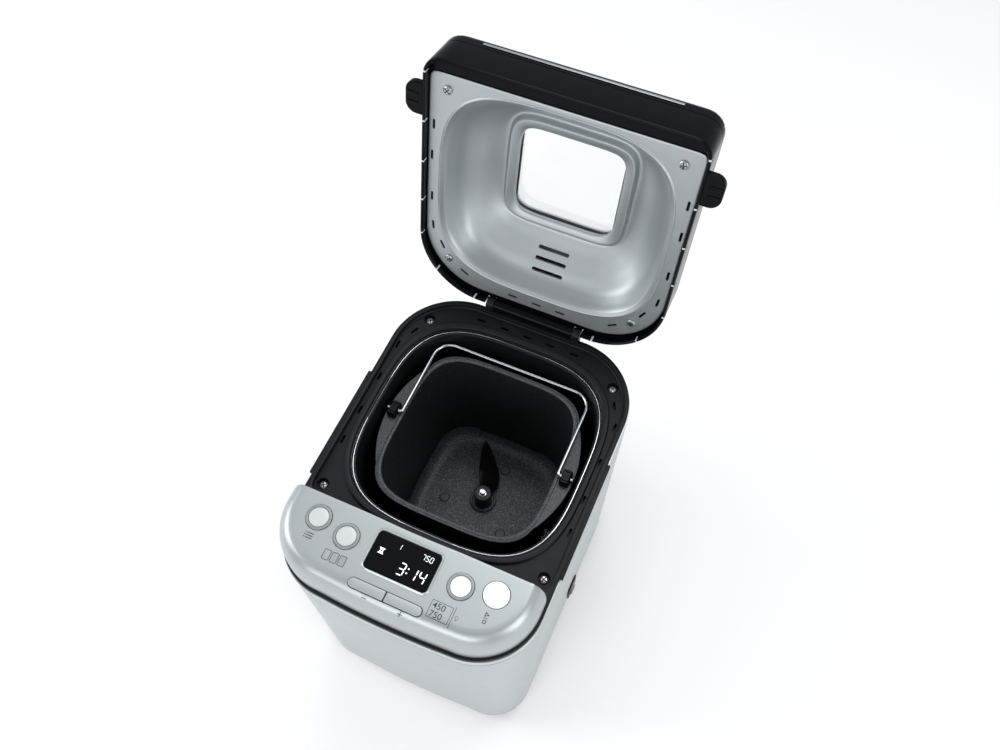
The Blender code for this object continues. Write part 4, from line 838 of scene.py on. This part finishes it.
def make_liner():
    steps = [(0.084, 0.0658), (0.088, 0.07, 0.003), (0.089, 0.11), (0.0934, 0.2512), (0.0958, 0.2512),
        (0.0958, 0.2522), (0.0924, 0.2522, 0.0012), (0.088, 0.11), (0.087, 0.0708, 0.006),
        (0.081, 0.067, 0.006), (0.077, 0.067)]
    shape = swept(lambda half, z: squircle(half), steps, loop=False, steps=5)
    holes = [turned([(0.0092, 0.05), (0.0092, 0.08)])]
    for radius, x, z, low in ((0.004, -0.012, 0.08, 0.08), (0.004, 0.012, 0.08, 0.08),
        (0.0036, 0.03, 0.15, -0.1)):
        holes.append(turn_to(turned([(radius, low), (radius, low + 0.02)], x, -z, 24), TO_REAR))
    piece("oven_pot", joined(shape, holes), OVEN_BLACK, "housing", ["oven_liner"])
    rim = [(0.0952, 0.2525), (0.0952, 0.253, 0.0002), (0.0943, 0.2532, 0.0003), (0.0941, 0.2525)]
    shape = swept(lambda half, z: squircle(half), rim)
    piece("oven_rim_ring", shape, CHROME, "housing", ["liner_rim"])


def make_element():
    level = 0.08
    ends = [(0.0121, 0.085, level), (0.012, 0.09, level), (0.012, 0.0965, level)]
    path = [(-x, y, z) for x, y, z in reversed(ends)]
    for angle in np.radians(np.linspace(99.6, 440.4, 130)):
        reach = squircle_reach(angle, 0.0795, 0.0795, 3.3)
        path.append((reach * math.cos(angle), reach * math.sin(angle), level))
    piece("heater_rod", tube(path + ends, 0.0032, 20), ELEMENT, "housing", ["heating_element"])


# ---------------------------------------------------------------- bread pan


def pan_flange(inset):
    """The rim's outline, widened at both sides into the flats that carry the handle."""
    half_height, reach_x = 0.046, FLANGE_REACH - inset
    sagitta = FLANGE_REACH - PAN_RIM
    radius = (half_height**2 + sagitta**2) / (2 * sagitta)
    offset = reach_x - radius
    rim = squircle_reach(ANGLES, PAN_RIM - inset, PAN_RIM - inset, RIM_POWER)
    along = np.sin(ANGLES)
    arc = offset * np.abs(np.cos(ANGLES)) + np.sqrt(np.maximum(radius**2 - (offset * along) ** 2, 0))
    blend = 0.0012
    soft = 0.5 * (rim + arc + np.sqrt((rim - arc) ** 2 + blend**2)) - blend / 2
    reach = np.where(np.abs(arc * along) < half_height + 0.004, soft, rim)
    return np.column_stack((reach * np.cos(ANGLES), reach * along))


def make_pan():
    sheet = 0.0016
    wall = [(0.0665 + (PAN_HALF - 0.0665) * share, 0.117 + (0.2366 - 0.117) * share, 3.8 + 0.4 * share)
        for share in np.linspace(1, 0, 9)]
    cove = [(0.0545 + 0.012 * math.cos(t), 0.117 - 0.012 * math.sin(t), 3.8 - 0.64 * t)
        for t in QUARTER[1:]]
    inner = wall + cove + [(0.053, PAN_FLOOR, 2.8)]
    outer = [(half + sheet, z - (0.0 if z > 0.118 else sheet * (0.118 - z) / 0.013), power)
        for half, z, power in inner]
    outer = [row for row in outer if row[1] < 0.233]
    rings = [ring(squircle(half, power), z) for half, z, power in reversed(outer)]

    def rim(out):
        return squircle(PAN_HALF + out, RIM_POWER)

    flange = [(0.0005, 0.2358), (0.0, 0.2363), (0.0, 0.2369), (0.0005, 0.2374)]
    lip = [(0.0034, 0.2374), (0.0028, 0.2378), (0.0018, 0.238), (0.0008, 0.2378), (0.0002, 0.2373)]
    rings += rings_at(rim, [(0.0016, 0.2348), (0.0024, 0.2357)]) + rings_at(pan_flange, flange)
    rings += rings_at(rim, lip)
    rings += [ring(squircle(half, power), z) for half, z, power in inner]
    hub = [(0.0136, 0.1042), (0.013, 0.106, 0.0008), (0.0126, 0.1078, 0.0008), (0.0108, 0.1078, 0.0006),
        (0.01, 0.1042)]
    additions = [turned(hub, loop=True)]
    for angle in (79, 199, 319):
        x, y = 0.0386 * math.cos(math.radians(angle)), 0.0386 * math.sin(math.radians(angle))
        dimple = [(0.0054, 0.1044), (0.005, 0.1054, 0.0006), (0.0042, 0.1062, 0.0008), (0.0, 0.1062)]
        additions.append(turned(dimple, x, y, 36))
    mesh = joined(lofted(rings), [turned([(0.0056, 0.09), (0.0056, 0.12)])], additions)
    pan = piece("pan_vessel", mesh, NONSTICK, "pan", ["bread_pan"])
    # The rim band gets the lighter copy of the coating: painted light.
    refinish(pan, NONSTICK_RIM_PAINTED_LIGHT, lambda centre, normal: centre.z > 0.2353)
    # Upward-facing floor faces get the lighter copy of the coating: painted light.
    refinish(pan, NONSTICK_FLOOR_PAINTED_LIGHT, lambda centre, normal: 0.104 < centre.z < 0.118 and normal.z > 0.2)
    low, high = 0.0674, 0.1031
    base = [(0.054, low, 0.0005), (0.054, high - 0.0015, 0.002), (0.05, high, 0.001), (0.038, high),
        (0.038, high - 0.0012), (0.052, high - 0.002, 0.001), (0.0526, low)]
    piece("pan_foot_ring", turned(base, count=96, loop=True), CAST, "pan", ["pan_base_ring"])


def make_bail():
    """Wire handle and its two riveted clamps."""
    arm, corner = BAIL_ARM_X, 0.016
    path = [(0.088, 0.0), (arm + 0.003, 0.0), (arm + 0.0014, 0.0003), (arm + 0.0005, 0.0011), (arm, 0.0026)]
    path += [(arm, share * (BAIL_LENGTH - corner)) for share in (0.3, 0.6, 0.9)]
    for angle in np.radians(np.linspace(0, 90, 13)):
        path.append((arm - corner + corner * math.cos(angle),
            BAIL_LENGTH - corner + corner * math.sin(angle)))
    path.append((0.03, BAIL_LENGTH))
    path += [(-x, y) for x, y in reversed(path)]
    wire = tube([(x, y, BAIL_Z) for x, y in path], 0.0015, 18)
    piece("carry_wire", wire, STEEL_WIRE, "bail", ["bail_handle"])
    for side, place in ((-1, "left"), (1, "right")):
        x = side * 0.0813
        steps = [(0.0, 0.2383), (0.0, 0.2406), (0.0004, 0.243, 0.0012), (0.0016, 0.2446, 0.001)]
        shape = pad(x, 0, 0.0045, 0.0075, 0.0024, steps)
        grooves = [block((x - 0.006, y - 0.0005, 0.2436), (x + 0.006, y + 0.0005, 0.246), 0.0)
            for y in (-0.0042, 0.0042)]
        tunnel = rod_along_x(x - 0.01, x + 0.01, 0.0, BAIL_Z, 0.0019)
        mesh = joined(shape, [tunnel, *grooves])
        piece("carry_clamp_" + place, mesh, GLOSS_BLACK, "pan", ["bail_clamp_" + place])


def around_axis(radius, azimuth, z):
    turn = math.radians(azimuth)
    return radius * math.cos(turn), radius * math.sin(turn), z


def make_paddle():
    """Hub with a leaf-shaped blade that twists as it rises towards its tip."""
    shaft = [(0.0, 0.083), (0.005, 0.083), (0.005, 0.1238, 0.0002), (0.0029, 0.124),
        (0.0029, 0.129, 0.0004), (0.0, 0.129)]
    wings = block((-0.0028, -0.012, 0.0772), (0.0028, 0.012, 0.0838), 0.0005)
    piece("paddle_spindle", joined(turned(shaft), [], [wings]), CHROME, "kneader", ["pan_shaft"])
    seal = [(0.0088, 0.1053), (0.0086, 0.1082, 0.0006), (0.0053, 0.1082, 0.0003), (0.0053, 0.1053)]
    piece("spindle_seal", turned(seal, loop=True), RUBBER, "pan", ["shaft_seal"])
    hub = [(0.0085, 0.1087, 0.0004), (0.0085, 0.1252, 0.0011), (0.0036, 0.1252, 0.0003)]
    hub += [(0.0036, 0.1243), (0.0053, 0.1243), (0.0053, 0.1087)]
    lower = [(0.007, 58, 0.1095), (0.016, 60, 0.1097), (0.0237, 72, 0.1115), (0.03, 82, 0.116)]
    lower += [(0.0345, 91, 0.122), (0.039, 99, 0.132), (0.0425, 105, 0.143), (0.0446, 109, 0.149)]
    upper = [(0.007, 128, 0.1225), (0.015, 125, 0.124), (0.024, 122, 0.1262), (0.0295, 119, 0.133)]
    upper += [(0.0335, 117, 0.14), (0.038, 114, 0.1455), (0.0415, 112, 0.1488), (0.0442, 111, 0.1499)]
    lower, upper = (eased([around_axis(*row) for row in rows], 33) for rows in (lower, upper))
    lower, upper = np.array(lower), np.array(upper)
    spine = (lower + upper) / 2
    forward = np.gradient(spine, axis=0)
    rings = []
    around = np.radians(np.linspace(0, 360, 24, endpoint=False))
    for index, (low, high) in enumerate(zip(lower, upper)):
        thick = np.cross(low - high, forward[index])
        thick *= (0.002 - 0.0008 * (index / 32) ** 2) / np.linalg.norm(thick)
        across = np.sign(np.sin(around)) * np.abs(np.sin(around)) ** 0.6
        rings.append(spine[index] + np.outer(np.cos(around), (low - high) / 2) + np.outer(across, thick))
    blade = lofted(rings)
    mesh = joined(turned(hub, loop=True), [], [blade])
    piece("dough_paddle", mesh, PADDLE_BLACK, "kneader", ["kneading_paddle"])


# ---------------------------------------------------------------- lid


def make_lid_frame():
    wall, inner = 0.0026, 0.2682
    opening = squircle(0.0985, 3.3, 0.093, 0.004)
    outer_steps = [(0.0016, LID_BOTTOM), (0.0008, LID_BOTTOM + 0.0002), (0.0002, LID_BOTTOM + 0.0009),
        (0.0, LID_BOTTOM + 0.0022), (0.0, 0.2895), (0.0004, 0.2897), (0.0004, 0.2903), (0.0, 0.2905),
        (0.0, LID_FRAME_TOP), (wall, LID_FRAME_TOP), (wall, 0.2698)]
    rings = rings_at(lid_outline, outer_steps) + [ring(opening, 0.2698), ring(opening, inner)]
    rings += rings_at(lid_outline, [(wall, inner), (wall, LID_BOTTOM + 0.0006), (0.0022, LID_BOTTOM)])
    clearance = [block((-HINGE_HALF - 0.0006, 0.1095, 0.25), (HINGE_HALF + 0.0006, 0.13, 0.2665), 0.0)]
    for side in (-1, 1):
        low, high = sorted((side * (BARREL_HALF - 0.0002), side * (HINGE_HALF + 0.0008)))
        clearance.append(rod_along_x(low, high, HINGE_Y, HINGE_Z, 0.0062, 0.0))
    first = joined(lofted(rings, loop=True), clearance)
    bm = bmesh.new()
    bm.from_mesh(first)
    bpy.data.meshes.remove(first)
    web = block((-BARREL_HALF + 0.0004, 0.104, 0.2684), (BARREL_HALF - 0.0004, HINGE_Y, 0.275), 0.0004)
    additions = [rod_along_x(-BARREL_HALF, BARREL_HALF, HINGE_Y, HINGE_Z, 0.0056), web]
    cutters, ribs = [rod_along_x(-0.05, 0.05, HINGE_Y, HINGE_Z, 0.0022)], []
    for side in (-1, 1):
        places = [(0.1103, y, 0) for y in (-0.0929, -0.0502, -0.0127, 0.0258, 0.0618)]
        for x, y, swing in [*places, (0.0945, 0.0978, 43), (0.0565, 0.1163, 86)]:
            place = spun(side * x, y, side * swing + (0 if side > 0 else 180))
            cutters.append(turn_to(block((-0.004, -0.001, 0.2585), (0.0052, 0.001, 0.266), 0.0), place))
            ribs.append(turn_to(block((-0.0011, -0.0007, 0.2602), (0.0009, 0.0007, 0.2655), 0.0), place))
        additions += ear(side)
    mesh = joined(arrays(bm), cutters, additions)
    piece("lid_surround", mesh, GLOSS_BLACK, "lid", ["lid_frame"], LID)
    piece("rim_ribs", together(*ribs), NYLON, "lid", place=LID)


def ear(side):
    """Finger tab at a front corner of the lid: a half round with two ridges."""

    def tab(inset, z):
        outline = rounded(0.014 - inset, -0.014 + inset, 0.014 - inset, 0.009 - inset, 0.009 - inset, 10, 4)
        return np.column_stack((side * np.maximum(0.1122 + outline[:, 0], 0.1106 + inset),
            outline[:, 1] - 0.0682))

    shapes = [swept(tab, [(0.0, 0.2656), (0.0, 0.261, 0.001), (0.0022, 0.261)], loop=False, steps=5)]
    for y in (-0.0722, -0.0642):
        low, high = sorted((side * 0.115, side * 0.1246))
        shapes.append(block((low, y - 0.0011, 0.2602), (high, y + 0.0011, 0.2622), 0.0006, 3))
    return shapes


def make_lid_cover():
    """Domed outer skin with the window opening, and the bright strip on the lid's front."""
    window = squircle(WINDOW_HALF_X + 0.003, 7.0, WINDOW_HALF_Y + 0.003, WINDOW_Y)
    behind = squircle(WINDOW_HALF_X + 0.0044, 7.0, WINDOW_HALF_Y + 0.0044, WINDOW_Y)
    base, rise, skin = 0.2968, LID_TOP - 0.2968, 0.0014

    def height(share):
        return base + rise * math.sqrt(max(1 - (1 - share) ** 2.6, 0.0))

    shares = np.concatenate(([0, 0.002, 0.006, 0.013, 0.024], np.linspace(0.04, 1, 26)))
    outer = [ring((1 - s) * lid_outline() + s * window, height(s)) for s in shares]
    inner = [ring((1 - s) * lid_outline(skin) + s * behind, height(s) - skin) for s in shares[4:]]
    lip = [ring(window * 0.9985, LID_TOP - 0.0003), ring(window * 0.9985, 0.3153), ring(behind, 0.3153)]
    rings = outer + lip + inner[::-1] + [ring(lid_outline(skin + 0.0006), base)]
    skin_piece = piece("lid_dome_skin", lofted(rings, loop=True), SILVER, "lid", ["lid_cover"],
        LID)
    refinish(skin_piece, GLOSS_BLACK, lambda centre, normal: centre.y < LID_FRONT + 0.0075)
    y = LID_FRONT - 0.0003
    strip = block((-0.0785, y - 0.0005, 0.2938), (0.0785, y, 0.2962), 0.0002)
    piece("lid_bright_strip", strip, TRIM_SILVER, "lid", ["lid_front_strip"], LID)


def make_lining():
    """Pressed aluminium inner panel: flat flange, beaded edge, deep dome, raised window frame.

    A row gives half width, half depth, middle, squareness, height, the amount by which its
    rear is shallower, and how far its outer face is spread.
    """
    sheet = 0.001
    edge = about_chamber(rounded(0.1084, -0.0922, 0.11, 0.006, 0.056, 60, 120))
    inner_edge = about_chamber(rounded(0.1078, -0.0916, 0.1094, 0.0056, 0.0554, 60, 120))
    bead = [(half, half - 0.0056, 0.0038, 3.4, LINING_Z - drop, 0.0, shift)
        for half, drop, shift in ((0.0992, 0.0, 0.0), (0.0984, 0.0, 0.0), (0.0979, 0.0006, 0.0),
        (0.0972, 0.0008, 0.0), (0.0965, 0.0004, 0.0003))]
    dome = [(0.0957, 0.0901, 0.0038, 3.4, LINING_Z + 0.0004, 0.0, 0.0006),
        (0.0935, 0.088, 0.004, 3.4, 0.2694, 0.0, 0.0009),
        (0.09, 0.0845, 0.0042, 3.4, 0.278, 0.0005, 0.0009),
        (0.085, 0.08, 0.0044, 3.4, 0.29, 0.0032, 0.0008),
        (0.076, 0.0715, 0.0036, 3.6, 0.3008, 0.0066, 0.0006),
        (0.0675, 0.063, 0.0018, 4.0, 0.307, 0.0075, 0.0004),
        (0.0605, 0.0562, -0.0002, 4.8, 0.3096, 0.0062, 0.0),
        (0.0564, 0.0526, -0.001, 5.6, 0.3098, 0.004, -0.0002),
        (0.0546, 0.0508, -0.0012, 6.0, 0.3078, 0.0018, -0.0006),
        (0.0536, 0.0499, -0.0013, 6.0, 0.3052, 0.0007, -0.0004),
        (0.0522, 0.0486, -0.0011, 6.4, 0.3046, 0.0004, 0.0),
        (0.0484, 0.0451, -0.0007, 7.0, 0.3052, 0.0, 0.0003),
        (0.0457, 0.0427, WINDOW_Y, 7.0, 0.3064, 0.0, 0.0003),
        (0.0449, 0.042, WINDOW_Y, 7.0, 0.3082, 0.0, 0.0)]
    flat = drawn_in(inner_edge, 0.0008)
    lower = [ring(edge, LINING_Z + 0.0004), ring(inner_edge, LINING_Z), ring(flat, LINING_Z)]
    upper = [ring(outline, LINING_Z + sheet) for outline in (edge, inner_edge, flat)]
    for half_x, half_y, y, power, z, rear_rise, shift in eased(bead, 12) + eased(dome, 64):
        shape = squircle(half_x, power, half_y, y)
        heights = z - rear_rise * np.maximum(0.0, shape[:, 1] / 0.06) ** 2
        lower.append(ring(shape, heights))
        spread = squircle(half_x + shift, power, half_y + shift, y)
        upper.append(ring(spread, heights + sheet))
    slots = [pad(0, y, 0.0142, 0.0014, 0.0013, [(0, 0.27), (0, 0.32)]) for y in (0.0656, 0.0734, 0.0817)]
    places = [(0.104, -0.0462, 90), (0.105, -0.0172, 90), (0.104, 0.0238, 90), (0.102, 0.0543, 84)]
    places += [(0.0925, 0.0728, 62), (0.07, 0.096, 32), (0.0225, 0.1041, 0)]
    places = [(side * x, y, 180 - side * turn) for x, y, turn in places for side in (-1, 1)]
    slots += [slot_cutter(0.0045, 0.26, 0.275, *row) for row in [*places, (0, 0.1042, 0)]]
    mesh = joined(lofted(lower + upper[::-1], loop=True), slots)
    piece("lid_inner_panel", mesh, LINING, "lid", ["lid_lining"], LID, sharp=40)


def make_window():
    pane = [(0.0006, 0.3122), (0.0, 0.3122, 0.0004), (0.0, 0.315, 0.0004), (0.0006, 0.315)]
    half_y = WINDOW_HALF_Y + 0.0049
    shape = pad(0, WINDOW_Y, 0.0484, half_y, 0.01, pane, arc=12)
    piece("window_pane", shape, GLASS, "lid", ["lid_window"], LID)
    seal = [(0.0, 0.3095), (0.0, 0.3119, 0.0003), (0.0046, 0.3119, 0.0005), (0.0046, 0.3095, 0.0005)]
    shape = pad(0, WINDOW_Y, 0.0484, half_y, 0.01, seal, True, 12)
    piece("window_seal", shape, GASKET, "lid", ["window_gasket"], LID)


# ---------------------------------------------------------------- inner works


def finish_inner_works():
    """The pieces inside the housing keep their CAD shapes and get their finishes here."""
    for finish, nodes in ((ZINC, "chassis hinge_pin"), (CAST, "motor drive_coupling pan_bearing"),
        (NYLON, "motor_pulley drive_pulley"), (RUBBER, "drive_belt"), (BRONZE, "shaft_bearing"),
        (STEEL_WIRE, "drive_shaft pan_clip_left pan_clip_right temperature_sensor"),
        (BOARD, "control_board power_board"), (DECK_BLACK, "base_plate")):
        for node in nodes.split():
            for material_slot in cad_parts[node].material_slots:
                material_slot.material = finish


# ---------------------------------------------------------------- studio


def make_camera():
    """Three-quarter view from above and to the right of the control panel."""
    azimuth, elevation, roll = (math.radians(value) for value in (25.65, 61.053, -1.811))
    back = np.array((math.sin(azimuth) * math.cos(elevation), -math.cos(azimuth) * math.cos(elevation),
        math.sin(elevation)))
    level = np.cross(-back, (0, 0, 1))
    level /= np.linalg.norm(level)
    upright = np.cross(level, -back)
    right = math.cos(roll) * level + math.sin(roll) * upright
    up = -math.sin(roll) * level + math.cos(roll) * upright
    data = bpy.data.cameras.new("camera")
    data.lens = 33.055
    data.sensor_width = 36
    data.clip_start = 0.01
    camera = add_object("camera", data)
    matrix = Matrix([(*row, 0) for row in np.column_stack((right, up, back))] + [(0, 0, 0, 1)])
    camera.matrix_world = Matrix.Translation((0.16225, CHAMBER_Y - 0.29044, 0.96033)) @ matrix
    bpy.context.scene.camera = camera


def softbox(name, place, aim_z, width, height, power):
    """A soft rectangular lamp that faces the object's axis at a height."""
    light = bpy.data.lights.new(name, "AREA")
    light.shape = "RECTANGLE"
    light.size, light.size_y = width, height
    light.energy = power
    turn = (Vector((0, 0, aim_z)) - Vector(place)).to_track_quat("-Z", "Y")
    add_object(name, light).matrix_world = Matrix.Translation(place) @ turn.to_matrix().to_4x4()


def make_studio():
    scene = bpy.context.scene
    scene.view_settings.view_transform = "Standard"
    world = bpy.data.worlds.new("studio")
    scene.world = world
    world.use_nodes = True
    background = world.node_tree.nodes["Background"]
    background.inputs["Color"].default_value = (0.93, 0.96, 1.0, 1)
    background.inputs["Strength"].default_value = 0.55
    softbox("overhead_softbox", (0.1, 0.9, 2.0), 0.2, 1.6, 1.0, 16)
    softbox("left_softbox", (-1.6, -0.4, 1.1), 0.25, 1.0, 1.4, 16)
    softbox("right_softbox", (1.5, -0.5, 0.9), 0.2, 0.7, 1.2, 9)
    softbox("front_softbox", (0.0, -1.8, 0.9), 0.2, 1.6, 0.8, 12)
    square = [(x, y, 0.0) for x, y in ((-4, -4), (4, -4), (4, 4), (-4, 4))]
    floor = add_object("floor", mesh_of("floor", (square, [[0, 1, 2, 3]])))
    paper = surface("pale_paper", (0.93, 0.93, 0.93), 0.8, mottle=0.004, grain=(300.0, 0.02), specular=0.1)
    floor.data.materials.append(paper)
    floor.location.z = -0.0002


make_camera()
for make in (make_shell, make_deck, make_screws, make_control_panel, make_buttons, make_keys, make_display):
    make()
for make in (make_panel_marks, make_switch, make_gland, make_liner, make_element, make_pan, make_bail):
    make()
for make in (make_paddle, make_lid_frame, make_lid_cover, make_lining, make_window, finish_inner_works):
    make()
make_studio()
